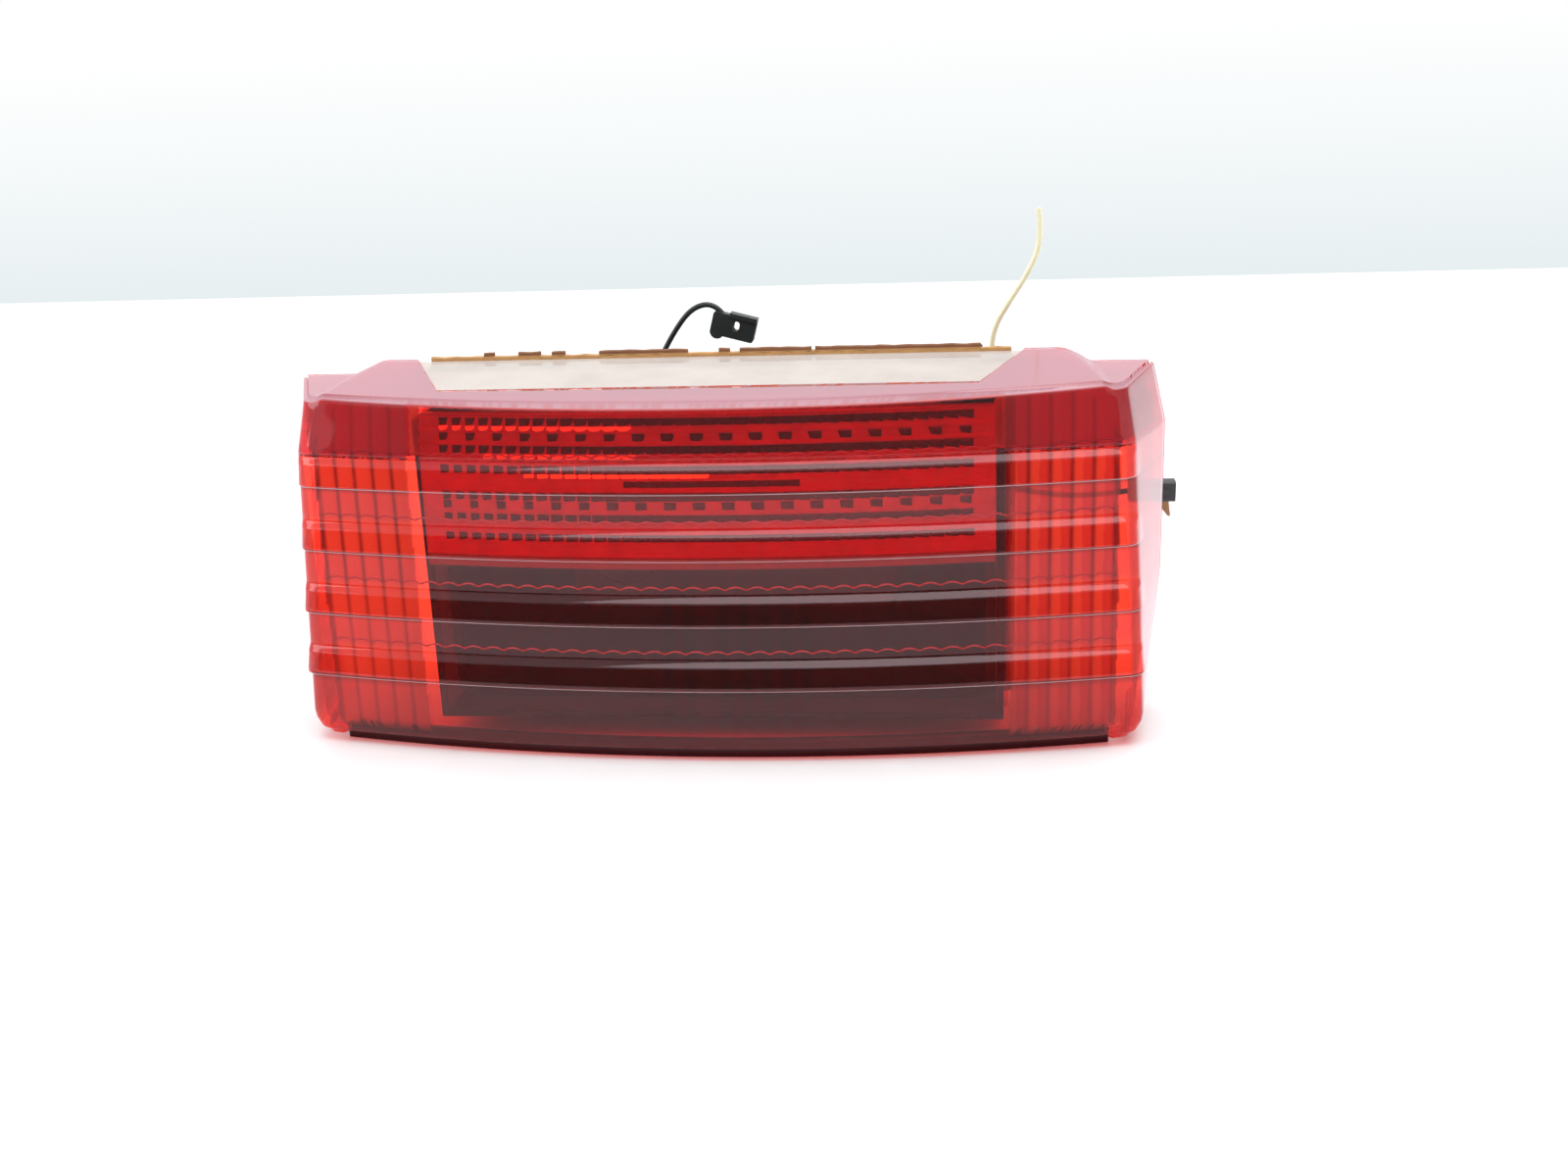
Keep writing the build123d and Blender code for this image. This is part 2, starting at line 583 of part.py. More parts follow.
def bulb_carrier():
    """Moulded plate that closes the housing and holds both sockets and both knurled screws."""
    half = OPENING_HALF + CARRIER_LAP
    plate = rounded_plate(half, OPENING_FOOT - CARRIER_LAP, OPENING_TOP + CARRIER_LAP,
                          CARRIER_FRONT, CARRIER_THICK, OPENING_RADIUS)
    ears = rounded_plate(EAR_HALF, SCREW_Z - EAR_HEIGHT / 2, SCREW_Z + EAR_HEIGHT / 2, CARRIER_FRONT,
                         CARRIER_THICK, EAR_HEIGHT / 2 - 0.1)

    def plug_in(gap, front, depth):
        return rounded_plate(OPENING_HALF - gap, OPENING_FOOT + gap, OPENING_TOP - gap, front, depth,
                             OPENING_RADIUS - gap)

    spigot_front = CARRIER_FRONT - SPIGOT_DEPTH
    spigot = plug_in(SPIGOT_GAP, spigot_front, SPIGOT_DEPTH + 1)
    spigot -= plug_in(SPIGOT_GAP + SPIGOT_WALL, spigot_front - 1, SPIGOT_DEPTH + 1)
    carrier = plate + ears + spigot
    outer = CAP_DIAMETER + 2 * (SOCKET_CLEARANCE + SOCKET_WALL)
    for x in (-BULB_X, BULB_X):
        carrier += round_bar(x, BULB_Z, CARRIER_FRONT - 3, CARRIER_REAR, outer + 4)
        carrier -= round_bar(x, BULB_Z, CARRIER_FRONT - 10, CARRIER_REAR + 10, outer)
    for x in (-SCREW_X, SCREW_X):
        carrier -= round_bar(x, SCREW_Z, CARRIER_FRONT - 1, CARRIER_REAR + 1, SCREW_DIAMETER + 0.8)
    for x, z in rivet_places():
        carrier -= round_bar(x, z, CARRIER_REAR - RIVET_DEPTH, CARRIER_REAR + 1, RIVET_DIAMETER)
    return carrier


def carrier_seal():
    lap = CARRIER_LAP - 0.5
    ring = rounded_plate(OPENING_HALF + lap, OPENING_FOOT - lap, OPENING_TOP + lap, CASING_REAR, CARRIER_SEAL,
                         OPENING_RADIUS)
    return ring - rounded_plate(OPENING_HALF, OPENING_FOOT, OPENING_TOP, CASING_REAR - 1, CARRIER_SEAL + 2,
                                OPENING_RADIUS)


def socket(x):
    """Bayonet socket: a thin tube with two turned-over slots."""
    bore = CAP_DIAMETER + 2 * SOCKET_CLEARANCE
    front = SOCKET_REAR - SOCKET_LENGTH
    tube = round_bar(x, BULB_Z, front, SOCKET_REAR, bore + 2 * SOCKET_WALL)
    tube -= round_bar(x, BULB_Z, front - 1, SOCKET_REAR + 1, bore)
    pin_half = PIN_DIAMETER / 2 + 0.12
    spread = math.degrees(pin_half / (bore / 2))
    for start in (0, 180):
        turned = sector(x, PIN_Y - pin_half, PIN_Y + PUSH_TRAVEL + pin_half,
                        start - TURN_ANGLE - spread, start + spread)
        way_in = sector(x, front - 1, PIN_Y + PUSH_TRAVEL + pin_half,
                        start - TURN_ANGLE - spread, start - TURN_ANGLE + spread)
        tube = tube - turned - way_in
    return tube


def sector(x, y_front, y_rear, start, end):
    """A wedge of a disc about a bulb's axis; angles count against the bulb's turn to come out."""
    plane = Plane(origin=(x, y_front, BULB_Z), x_dir=(1, 0, 0), z_dir=(0, 1, 0))
    radius = CAP_DIAMETER

    def rim(angle):
        return (radius * math.cos(math.radians(angle)), radius * math.sin(math.radians(angle)))

    with BuildSketch(plane) as outline:
        with BuildLine():
            Polyline((0, 0), rim(start), rim((start + end) / 2), rim(end), close=True)
        make_face()
    return extrude(outline.sketch, amount=y_rear - y_front)


def socket_base(x):
    """Insulating disc that closes the socket and carries its spring."""
    diameter = CAP_DIAMETER + 2 * SOCKET_CLEARANCE - 2 * RUNNING_GAP
    disc = round_bar(x, BULB_Z, SOCKET_REAR - BASE_THICK, SOCKET_REAR, diameter)
    return disc - round_bar(x, BULB_Z, SOCKET_REAR - BASE_THICK - 1, SOCKET_REAR + 1, CONTACT_DIAMETER)


def contact_disc(x):
    """Insulating disc that slides in the socket and pushes the bulb forward."""
    diameter = CAP_DIAMETER + 2 * SOCKET_CLEARANCE - 4 * RUNNING_GAP
    disc = round_bar(x, BULB_Z, DISC_FRONT, DISC_FRONT + DISC_THICK, diameter)
    return disc - round_bar(x, BULB_Z, DISC_FRONT - 1, DISC_FRONT + DISC_THICK + 1, CONTACT_DIAMETER)


def contact_rivet(x):
    """Brass contact in the sliding disc, domed towards the bulb."""
    stem = round_bar(x, BULB_Z, DISC_FRONT, DISC_FRONT + DISC_THICK + 0.8, CONTACT_DIAMETER)
    head = round_bar(x, BULB_Z, DISC_FRONT - CONTACT_HEAD, DISC_FRONT, CONTACT_DIAMETER + 2)
    return stem + head


def contact_spring(x):
    """Coil spring between the socket's base and the sliding disc."""
    clear_of_ends = SPRING_WIRE / 2 + TOUCH_GAP
    foot = DISC_FRONT + DISC_THICK + clear_of_ends
    length = SOCKET_REAR - BASE_THICK - clear_of_ends - foot
    coil = Helix(pitch=length / SPRING_TURNS, height=length, radius=SPRING_RADIUS)
    plane = Plane(origin=coil @ 0, z_dir=coil % 0)
    wound = sweep(plane * RegularPolygon(SPRING_WIRE / 2, SPRING_SIDES), path=coil)
    return Pos(x, foot, BULB_Z) * Rot(X=-90) * wound


def cap_front():
    """Y of the bulb cap's front edge, counted forward from the spring contact."""
    return DISC_FRONT - CONTACT_HEAD - TOUCH_GAP - CAP_SOLDER - CAP_LENGTH


def bulb_cap(x):
    """Brass bayonet cap with its two pins and its solder contact."""
    front = cap_front()
    base = front + CAP_LENGTH
    inside = round_bar(x, BULB_Z, front - 1, base - CAP_FLOOR, CAP_DIAMETER - 2 * CAP_WALL)
    cap = round_bar(x, BULB_Z, front, base, CAP_DIAMETER) - inside
    cap += round_bar(x, BULB_Z, base - CAP_FLOOR / 2, base + CAP_SOLDER, SOLDER_DIAMETER)
    reach = CAP_DIAMETER / 2 + PIN_REACH
    pins = Pos(x, PIN_Y, BULB_Z) * Rot(Y=90) * Cylinder(PIN_DIAMETER / 2, 2 * reach)
    return cap + (pins - inside)


def bulb_glass(x, diameter, length):
    """Blown envelope: a neck cemented in the cap, a round body and a stem with its exhaust hole."""
    front = cap_front()
    cemented = front + NECK_IN_CAP
    neck = CAP_DIAMETER / 2 - CAP_WALL - SEAT_GAP
    wide = diameter / 2
    centre = front - length + wide

    def shoulder(shrink):
        """Where the cone from the neck meets the round end."""
        reach = math.hypot(neck - shrink, front - centre)
        angle = math.atan2(neck - shrink, front - centre) + math.acos((wide - shrink) / reach)
        return ((wide - shrink) * math.sin(angle), centre + (wide - shrink) * math.cos(angle))

    def envelope(shrink):
        radius = wide - shrink
        with BuildSketch(Plane.XY) as half:
            with BuildLine():
                Polyline((0, cemented - shrink), (neck - shrink, cemented - shrink), (neck - shrink, front),
                         shoulder(shrink))
                ThreePointArc(shoulder(shrink), (radius * math.cos(math.radians(30)),
                                                 centre - radius * math.sin(math.radians(30))), (0, centre - radius))
                Line((0, centre - radius), (0, cemented - shrink))
            make_face()
        return revolve(half.sketch, axis=Axis.Y)

    body = envelope(0) - envelope(GLASS_WALL)
    standing = (Align.CENTER, Align.CENTER, Align.MIN)
    body += Pos(0, cemented - GLASS_WALL / 2, 0) * Rot(X=90) * Cone(STEM_FOOT, STEM_TIP, STEM_HEIGHT, align=standing)
    body -= Pos(0, cemented + 1, 0) * Rot(X=90) * Cylinder(EXHAUST_RADIUS, STEM_HEIGHT + 4, align=standing)
    return Pos(x, 0, BULB_Z) * body


def bulb_filament(x, reach):
    """Two support wires and the filament between them, standing on the glass stem."""
    stem_top = cap_front() + NECK_IN_CAP - GLASS_WALL / 2 - STEM_HEIGHT
    wires = Part()
    for side in (-1, 1):
        wires += round_bar(side * SUPPORT_SPREAD, 0, stem_top - reach, stem_top - TOUCH_GAP, SUPPORT_DIAMETER)
    bar = Pos(0, stem_top - reach, 0) * Rot(Y=90) * Cylinder(FILAMENT_DIAMETER / 2, FILAMENT_LENGTH)
    return Pos(x, 0, BULB_Z) * (wires + bar)


def knurled_screw(x):
    """Captive screw with a knurled, slotted head."""
    under_head = CARRIER_REAR + WASHER_THICK + 2 * TOUCH_GAP
    knob = round_bar(x, SCREW_Z, under_head, under_head + KNOB_HEIGHT, KNOB_DIAMETER)
    knob = chamfer(knob.edges().filter_by(GeomType.CIRCLE), KNOB_CHAMFER)
    radius = KNOB_DIAMETER / 2 + KNURL_OUT
    for count in range(KNURLS):
        angle = math.radians(360 / KNURLS * count)
        knob -= round_bar(x + radius * math.cos(angle), SCREW_Z + radius * math.sin(angle),
                          under_head - 1, under_head + KNOB_HEIGHT + 1, KNURL_DIAMETER)
    knob -= Pos(x, under_head + KNOB_HEIGHT, SCREW_Z) * Box(KNOB_DIAMETER + 2, 2 * DRIVE_DEPTH, DRIVE_WIDTH)
    shank = round_bar(x, SCREW_Z, CASING_REAR - SCREW_BITE, under_head + 0.5, SCREW_DIAMETER)
    shank = chamfer(shank.edges().sort_by(Axis.Y)[0], 0.5)
    return knob + shank


def screw_washer(x):
    front = CARRIER_REAR + TOUCH_GAP
    ring = round_bar(x, SCREW_Z, front, front + WASHER_THICK, WASHER_DIAMETER)
    return ring - round_bar(x, SCREW_Z, front - 1, front + WASHER_THICK + 1, SCREW_DIAMETER + 2 * RUNNING_GAP)


def rivet_places():
    return [(-BULB_X, BRAKE_RIVET_Z), (TAIL_RIVET_X, TAIL_STRIP_Z), (0.0, EARTH_STRIP_Z),
            (EARTH_RISER_X, EARTH_STRIP_Z)]


def strip_plate(x_left, x_right, z_foot, z_top):
    """A flat piece of contact strip on the carrier's rear face."""
    centre = ((x_left + x_right) / 2, CARRIER_REAR + STRIP_THICK / 2, (z_foot + z_top) / 2)
    return Pos(*centre) * Box(x_right - x_left, STRIP_THICK, z_top - z_foot)


def feed_rivet(x):
    """Stud of a contact strip that passes through the socket's base to its spring."""
    base_front = SOCKET_REAR - BASE_THICK
    stem = round_bar(x, BULB_Z, base_front, SOCKET_REAR + STRIP_THICK / 2, CONTACT_DIAMETER)
    return stem + round_bar(x, BULB_Z, base_front - CONTACT_HEAD, base_front, FEED_HEAD)


def barrel(x, z, upright):
    """Crimp barrel at the end of a strip, joined to it along its front."""
    turn = Rot() if upright else Rot(Y=90)
    standing = (Align.CENTER, Align.CENTER, Align.MIN)
    tube = Cylinder(BARREL_DIAMETER / 2, BARREL_LENGTH, align=standing)
    bore = Pos(0, 0, BARREL_LENGTH - BARREL_BORE) * Cylinder(LEAD_DIAMETER / 2, BARREL_BORE + 1, align=standing)
    bite = 0.2
    web = Box(BARREL_DIAMETER - 0.6, BARREL_DIAMETER / 2 + bite, BARREL_LENGTH,
              align=(Align.CENTER, Align.MAX, Align.MIN))
    return Pos(x, LEAD_Y, z) * turn * (tube + web - bore)


def drilled(strip):
    for x, z in rivet_places():
        strip -= round_bar(x, z, CARRIER_REAR - 1, CARRIER_REAR + STRIP_THICK + 1, RIVET_DIAMETER)
    return strip


def brake_terminal():
    half = STRIP_WIDTH / 2
    strip = strip_plate(-BULB_X - half, -BULB_X + half, BULB_Z - half, BLACK_EXIT_Z - 1)
    return drilled(strip + feed_rivet(-BULB_X) + barrel(-BULB_X, BLACK_EXIT_Z - BARREL_LENGTH, True))


def tail_terminal():
    half = STRIP_WIDTH / 2
    riser = strip_plate(BULB_X - half, BULB_X + half, BULB_Z - half, TAIL_STRIP_Z + half)
    arm = strip_plate(BULB_X, SIDE_EXIT_X - 1, TAIL_STRIP_Z - half, TAIL_STRIP_Z + half)
    return drilled(riser + arm + feed_rivet(BULB_X) + barrel(SIDE_EXIT_X - BARREL_LENGTH, TAIL_STRIP_Z, False))


def earth_terminal():
    half = BUS_WIDTH / 2
    bus = strip_plate(-BULB_X - half, EARTH_RISER_X + half, EARTH_STRIP_Z - half, EARTH_STRIP_Z + half)
    bus += strip_plate(EARTH_RISER_X - half, EARTH_RISER_X + half, EARTH_STRIP_Z, DARK_EXIT_Z + half)
    bus += strip_plate(EARTH_RISER_X - half, SIDE_EXIT_X - 1, DARK_EXIT_Z - half, DARK_EXIT_Z + half)
    for x in (-BULB_X, BULB_X):
        bus += strip_plate(x - half, x + half, EARTH_STRIP_Z, BULB_Z - CAP_DIAMETER / 2 - SOCKET_WALL / 2)
    return drilled(bus + barrel(SIDE_EXIT_X - BARREL_LENGTH, DARK_EXIT_Z, False))


def strip_rivets():
    rivets = []
    for x, z in rivet_places():
        outside = CARRIER_REAR + STRIP_THICK
        shank = round_bar(x, z, CARRIER_REAR - RIVET_DEPTH, outside, RIVET_DIAMETER)
        head = round_bar(x, z, outside, outside + RIVET_HEAD_THICK, RIVET_HEAD)
        rivets.append(shank + head)
    return Compound(children=rivets)


# ---- leads: each route is a list of points chosen by hand --------------------------------
def black_lead_route():
    y = LEAD_Y
    return [(-BULB_X, y, BLACK_EXIT_Z - BARREL_BORE), (-BULB_X, y, 95.0), (-25.3, y + 0.6, 104.5),
            (-19.6, y + 1.0, 114.4), (-13.4, y + 0.8, 121.8), (-6.2, y + 0.4, 123.2), receptacle_entry()]


def cream_lead_route():
    y = LEAD_Y
    return [(SIDE_EXIT_X - BARREL_BORE, y, TAIL_STRIP_Z), (68.6, y, TAIL_STRIP_Z), (80.8, y, 90.0),
            (83.6, y + 0.3, 102.5), (84.4, y + 0.5, 113.0), (89.4, y + 0.4, 121.5), (95.0, y + 0.1, 130.0),
            (99.6, y, 140.2), (98.4, y + 0.2, 150.5)]


def dark_lead_route():
    y = LEAD_Y
    return [(SIDE_EXIT_X - BARREL_BORE, y, DARK_EXIT_Z), (75.0, y, DARK_EXIT_Z), (95.0, y - 2.5, 59.9),
            (112.0, y - 6.5, 58.3), plug_entry()]


def corner_radii(route):
    """Largest arc that both runs beside each corner allow."""
    points = [Vector(*point) for point in route]
    radii = []
    for before, corner, after in zip(points, points[1:], points[2:]):
        into = corner - before
        out_of = after - corner
        turn = math.radians(into.get_angle(out_of))
        radii.append(0.45 * min(into.length, out_of.length) / math.tan(turn / 2))
    return radii


def lead(name, route):
    radii = corner_radii(route)
    path = FilletPolyline(*route, radius=radii)
    start = Plane(origin=path @ 0, z_dir=path % 0)
    tube = sweep(start * Circle(LEAD_DIAMETER / 2), path=path)
    section = math.pi * (LEAD_DIAMETER / 2) ** 2
    print(name, "length", round(path.length, 1), "radii", [round(radius, 1) for radius in radii],
          "volume over section times length", round(tube.volume / (section * path.length), 4))
    return tube


def receptacle_place():
    """Local frame of the blade receptacle: X along it towards its mouth, Z up."""
    return Pos(RECEPTACLE_X, LEAD_Y, RECEPTACLE_Z) * Rot(Y=RECEPTACLE_TILT)


def receptacle_entry():
    place = receptacle_place() * Pos(LEAD_SOCKET_X, 0, RECEPTACLE_HEIGHT / 2 - 0.4)
    return tuple(place.position)


def blade_receptacle():
    """Insulating sleeve of the flag receptacle: mouth, latch hole, stiffened edge, crimp shoulder."""
    length, height, thick = RECEPTACLE_LENGTH, RECEPTACLE_HEIGHT, RECEPTACLE_THICK
    body = Pos(length / 2, 0, 0) * Box(length, thick, height)
    body = fillet(body.edges().filter_by(Axis.Y), 0.8)
    lip = Pos(length - 4.6, 0, height / 2) * Box(9.2, thick + 0.8, 1.4)
    shoulder = Pos(2.4, 0, -height / 2 + 1.2) * Rot(X=90) * Cylinder(2.4, thick)
    body = body + lip + shoulder
    body -= Pos(length + 1, 0, 0) * Box(2 * (MOUTH_DEPTH + 1), 2.6, 6.8)
    with BuildSketch(Plane.XZ) as oval:
        with Locations((8.2, 0.5)):
            SlotOverall(3.2, 2.0, rotation=90)
    body -= extrude(oval.sketch, amount=thick, both=True)
    return receptacle_place() * body - lead_hole(black_lead_route())


def receptacle_contact():
    """Sprung brass contact in the sleeve: a flat back with both edges rolled over."""
    depth = MOUTH_DEPTH - 1.0
    start = RECEPTACLE_LENGTH - MOUTH_DEPTH + 0.1
    middle = start + depth / 2
    contact = Pos(middle, 0.95, 0) * Box(depth, 0.4, 5.4)
    for side in (-1, 1):
        contact += Pos(middle, 0.1, side * 2.3) * Rot(Y=90) * (Cylinder(1.0, depth) - Cylinder(0.6, depth))
    with BuildSketch(Plane.XZ) as oval:
        with Locations((8.2, 0.5)):
            SlotOverall(3.0, 1.8, rotation=90)
    contact -= extrude(oval.sketch, amount=RECEPTACLE_THICK, both=True)
    return receptacle_place() * contact


def lead_hole(route):
    """Round hole in a connector, in line with the last run of its lead."""
    end = Vector(*route[-1])
    before = Vector(*route[-2])
    return extrude(Plane(origin=end, z_dir=before - end) * Circle(LEAD_DIAMETER / 2 + SEAT_GAP / 2), amount=6)


def plug_entry():
    return (PLUG_LEFT + 1.0, PLUG_Y, PLUG_Z)


def grey_plug():
    """Small round-cornered connector on the dark lead, its mouth towards the lamp's end."""
    centre = (PLUG_LEFT + PLUG_LENGTH / 2, PLUG_Y, PLUG_Z)
    body = Pos(*centre) * Box(PLUG_LENGTH, PLUG_THICK, PLUG_HEIGHT)
    body = fillet(body.edges().filter_by(Axis.X), 1.0)
    rib = Pos(centre[0] + 1.5, PLUG_Y - PLUG_THICK / 2, PLUG_Z) * Box(8, 0.8, 2.0)
    body += rib
    body -= Pos(PLUG_LEFT + PLUG_LENGTH, PLUG_Y, PLUG_Z) * Box(14, 3.2, 4.2)
    return body - lead_hole(dark_lead_route())


def tan_lock():
    """Pointed locking piece that hangs from the underside of the grey connector."""
    top = PLUG_Z - PLUG_HEIGHT / 2
    x = PLUG_LEFT + PLUG_LENGTH - 4.0
    with BuildSketch(Plane.XY.offset(top)) as root:
        with Locations((x, PLUG_Y)):
            RectangleRounded(4.2, 3.2, 0.6)
    with BuildSketch(Plane.XY.offset(top - 5.2)) as tip:
        with Locations((x + 2.4, PLUG_Y)):
            RectangleRounded(0.9, 1.4, 0.3)
    return loft([tip.sketch, root.sketch], ruled=True)


def save(name, part):
    export_step(Pos(0, CENTRE_SHIFT, 0) * part, "parts/" + name + ".step")


def main():
    os.makedirs("parts", exist_ok=True)
    save("lens_cover", lens_cover())
    save("plate_window", plate_window())
    save("lamp_housing", lamp_housing())
    save("sealing_strip", sealing_strip())
    save("reflex_panel", reflex_panel())
    save("reflector", reflector())
    save("mounting_studs", mounting_studs())
    save("bulb_carrier", bulb_carrier())
    save("carrier_seal", carrier_seal())
    for name, x, diameter, length in (("brake", -BULB_X, BRAKE_GLASS_DIAMETER, BRAKE_GLASS_LENGTH),
                                      ("tail", BULB_X, TAIL_GLASS_DIAMETER, TAIL_GLASS_LENGTH)):
        save(name + "_socket", socket(x))
        save(name + "_socket_base", socket_base(x))
        save(name + "_contact_disc", contact_disc(x))
        save(name + "_contact", contact_rivet(x))
        save(name + "_contact_spring", contact_spring(x))
        save(name + "_bulb_cap", bulb_cap(x))
        save(name + "_bulb_glass", bulb_glass(x, diameter, length))
        save(name + "_bulb_filament", bulb_filament(x, length * FILAMENT_SHARE))
    save("brake_terminal", brake_terminal())
    save("tail_terminal", tail_terminal())
    save("earth_terminal", earth_terminal())
    save("strip_rivets", strip_rivets())
    for side, x in (("left", -SCREW_X), ("right", SCREW_X)):
        save(side + "_screw", knurled_screw(x))
        save(side + "_washer", screw_washer(x))
    save("black_lead", lead("black_lead", black_lead_route()))
    save("cream_lead", lead("cream_lead", cream_lead_route()))
    save("dark_lead", lead("dark_lead", dark_lead_route()))
    save("blade_receptacle", blade_receptacle())
    save("receptacle_contact", receptacle_contact())
    save("grey_plug", grey_plug())
    save("tan_lock", tan_lock())


if __name__ == "__main__":
    main()
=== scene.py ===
"""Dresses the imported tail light: finer lens and prisms, leads as curves, finishes, camera and light."""

import json
import logging
import math
from dataclasses import dataclass
from enum import Enum

import bmesh
import bpy
import numpy as np
from mathutils import Matrix, Vector

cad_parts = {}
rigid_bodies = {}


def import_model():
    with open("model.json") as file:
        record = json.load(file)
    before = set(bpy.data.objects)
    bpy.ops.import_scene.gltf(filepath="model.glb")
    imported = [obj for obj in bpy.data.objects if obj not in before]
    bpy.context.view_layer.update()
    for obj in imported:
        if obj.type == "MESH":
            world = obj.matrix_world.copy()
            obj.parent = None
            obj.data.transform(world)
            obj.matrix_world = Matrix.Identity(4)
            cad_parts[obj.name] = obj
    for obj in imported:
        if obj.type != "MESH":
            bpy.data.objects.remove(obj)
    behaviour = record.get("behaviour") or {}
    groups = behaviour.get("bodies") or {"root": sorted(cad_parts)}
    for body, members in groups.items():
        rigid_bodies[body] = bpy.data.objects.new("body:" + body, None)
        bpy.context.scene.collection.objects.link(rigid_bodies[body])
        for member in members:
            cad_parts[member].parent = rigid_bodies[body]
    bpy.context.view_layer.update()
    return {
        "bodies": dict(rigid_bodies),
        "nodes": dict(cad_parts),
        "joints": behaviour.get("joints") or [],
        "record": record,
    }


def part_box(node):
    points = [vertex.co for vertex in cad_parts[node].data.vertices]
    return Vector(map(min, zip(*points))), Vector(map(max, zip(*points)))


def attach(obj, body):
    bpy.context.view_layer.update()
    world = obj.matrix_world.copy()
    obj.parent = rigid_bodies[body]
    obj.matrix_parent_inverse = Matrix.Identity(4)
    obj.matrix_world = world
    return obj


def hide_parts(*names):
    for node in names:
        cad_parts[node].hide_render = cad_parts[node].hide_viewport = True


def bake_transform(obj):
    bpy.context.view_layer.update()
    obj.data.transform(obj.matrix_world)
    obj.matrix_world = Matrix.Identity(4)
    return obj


log = logging.getLogger("tail_light")
MM = 0.001
ACRYLIC_INDEX = 1.49  # how strongly the clear mouldings bend light
INNER_REFLECTION = 0.3  # share that faces seen from inside reflect
HAIR = 0.01 * MM  # points closer than this are one
WAVE_SCALE = 55.0  # slight waves of a moulded surface, in repeats a metre
WAVE_HEIGHT = 0.25 * MM
WHITE = (1.0, 1.0, 1.0)

Colour = tuple[float, float, float]
Point = tuple[float, float, float]
Point2 = tuple[float, float]
Socket = bpy.types.NodeSocket


# ---------------------------------------------------------------------------------------
# Sizes, in metres, in the frame's own axes
# ---------------------------------------------------------------------------------------
@dataclass(frozen=True)
class LensSize:
    """Driving sizes of the lens cover, as the solid model has them."""

    face_half: float = 122.4 * MM
    foot_half: float = 127.6 * MM
    top_half: float = 119.8 * MM
    bulge: float = 14.5 * MM
    depth: float = 34.0 * MM
    rear_half: float = 134.6 * MM
    rear_top: float = 130.4 * MM
    rear_foot: float = 131.0 * MM
    flare: float = 45.0 * MM
    skirt: float = 4.0 * MM
    end_cut_height: float = 4.4 * MM
    end_cut: float = 2.6 * MM
    face_height: float = 101.5 * MM
    band: float = 14.5 * MM
    face_lean: float = 3.0 * MM
    band_lean: float = 3.5 * MM
    wall: float = 2.6 * MM
    corner: float = 6.0 * MM
    corner_run: float = 3.6 * MM
    edge_radius: float = 1.2 * MM
    crease: float = 0.9 * MM
    shelf_rise: float = 3.8 * MM
    wedge_rise: float = 7.9 * MM
    wedge_front: float = 118.0 * MM
    wedge_rear: float = 116.5 * MM
    wedge_angle: float = math.radians(50.0)
    crest_height: float = 5.2 * MM
    crest_angle: float = math.radians(66.0)
    rib_count: int = 4
    rib_pitch: float = 19.5 * MM
    rib_first: float = 23.0 * MM
    rib_height: float = 8.8 * MM
    rib_shoulder: float = 2.0 * MM
    rib_shoulder_out: float = 1.9 * MM
    rib_out: float = 3.2 * MM
    rib_end_out: float = 1.0 * MM
    rib_fade_from: float = 1.5 * MM
    rib_fade_to: float = 8.0 * MM
    rib_fade_power: float = 1.5
    rib_face_share: float = 0.92
    rib_face_rows: int = 6
    rib_rest: float = 0.4 * MM
    shoulder_power: float = 1.15
    lip_drop: float = 0.1 * MM
    lip_back: float = 0.6 * MM
    lip_shaded: float = 0.3
    plain_rows: int = 8
    lip_radius: float = 0.6 * MM
    band_step: float = 0.7 * MM
    band_below: float = 0.7 * MM
    band_groove: float = 0.3 * MM
    band_rise: float = 0.5 * MM
    flute_pitch: float = 6.2 * MM
    flute_depth: float = 0.25 * MM
    flute_end: float = 119.0 * MM
    step_rise: float = 0.8 * MM
    step_depth: float = 0.35 * MM
    step_half: float = 0.26 * MM
    step_count: int = 480
    scallop: float = 0.9 * MM
    reflex_half: float = 80.0 * MM
    reflex_foot: float = 58.0 * MM
    rim_inset: float = 4.0 * MM
    rim_half: float = 118.0 * MM
    tab_inset: float = 1.6 * MM
    tab_half: float = 124.8 * MM
    tab_foot: float = 2.4 * MM
    chamber_half: float = 86.5 * MM
    chamber_rib: float = 1.6 * MM
    chamber_depth: float = 16.0 * MM
    chamber_top: float = 100.7 * MM
    window_front: float = 79.5 * MM
    window_rear: float = 93.1 * MM
    window_y: float = 7.9 * MM
    window_columns: int = 78
    outer_columns: int = 78
    corner_columns: int = 7
    end_columns: int = 12
    strip_rows: int = 6
    strip_share: float = 0.25
    pane_rows: int = 14
    # levels of the foot: rise and inset
    foot_steps: tuple[Point2, ...] = ((0.0, 3.0 * MM), (0.0, 0.9 * MM), (0.15 * MM, 0.4 * MM),
                                      (0.45 * MM, 0.12 * MM), (1.0 * MM, 0.0))
    # levels of the hollow under a lip: drop, how far it stands out, how shaded it is
    under_lip: tuple[Point, ...] = ((0.55 * MM, 0.0, 0.75), (0.28 * MM, 0.12 * MM, 0.75),
                                    (0.2 * MM, 0.6 * MM, 0.75))
    # degrees round a rounded edge, and how strong the painted highlight line is there
    lip_turns: tuple[tuple[int, float], ...] = ((20, 0.0), (50, 0.9), (75, 0.0))
    edge_turns: tuple[tuple[int, float], ...] = ((15, 0.1), (35, 0.1), (55, 0.3), (75, 0.1), (90, 0.1))
    shoulder_rises: tuple[float, ...] = (0.02, 0.12, 0.3, 0.5, 0.7, 0.85, 0.95)

    @property
    def face_top(self) -> float:
        """Height of the face's upper edge."""
        return self.skirt + self.face_height

    @property
    def band_foot(self) -> float:
        """Height at which the smooth band begins."""
        return self.face_top - self.band


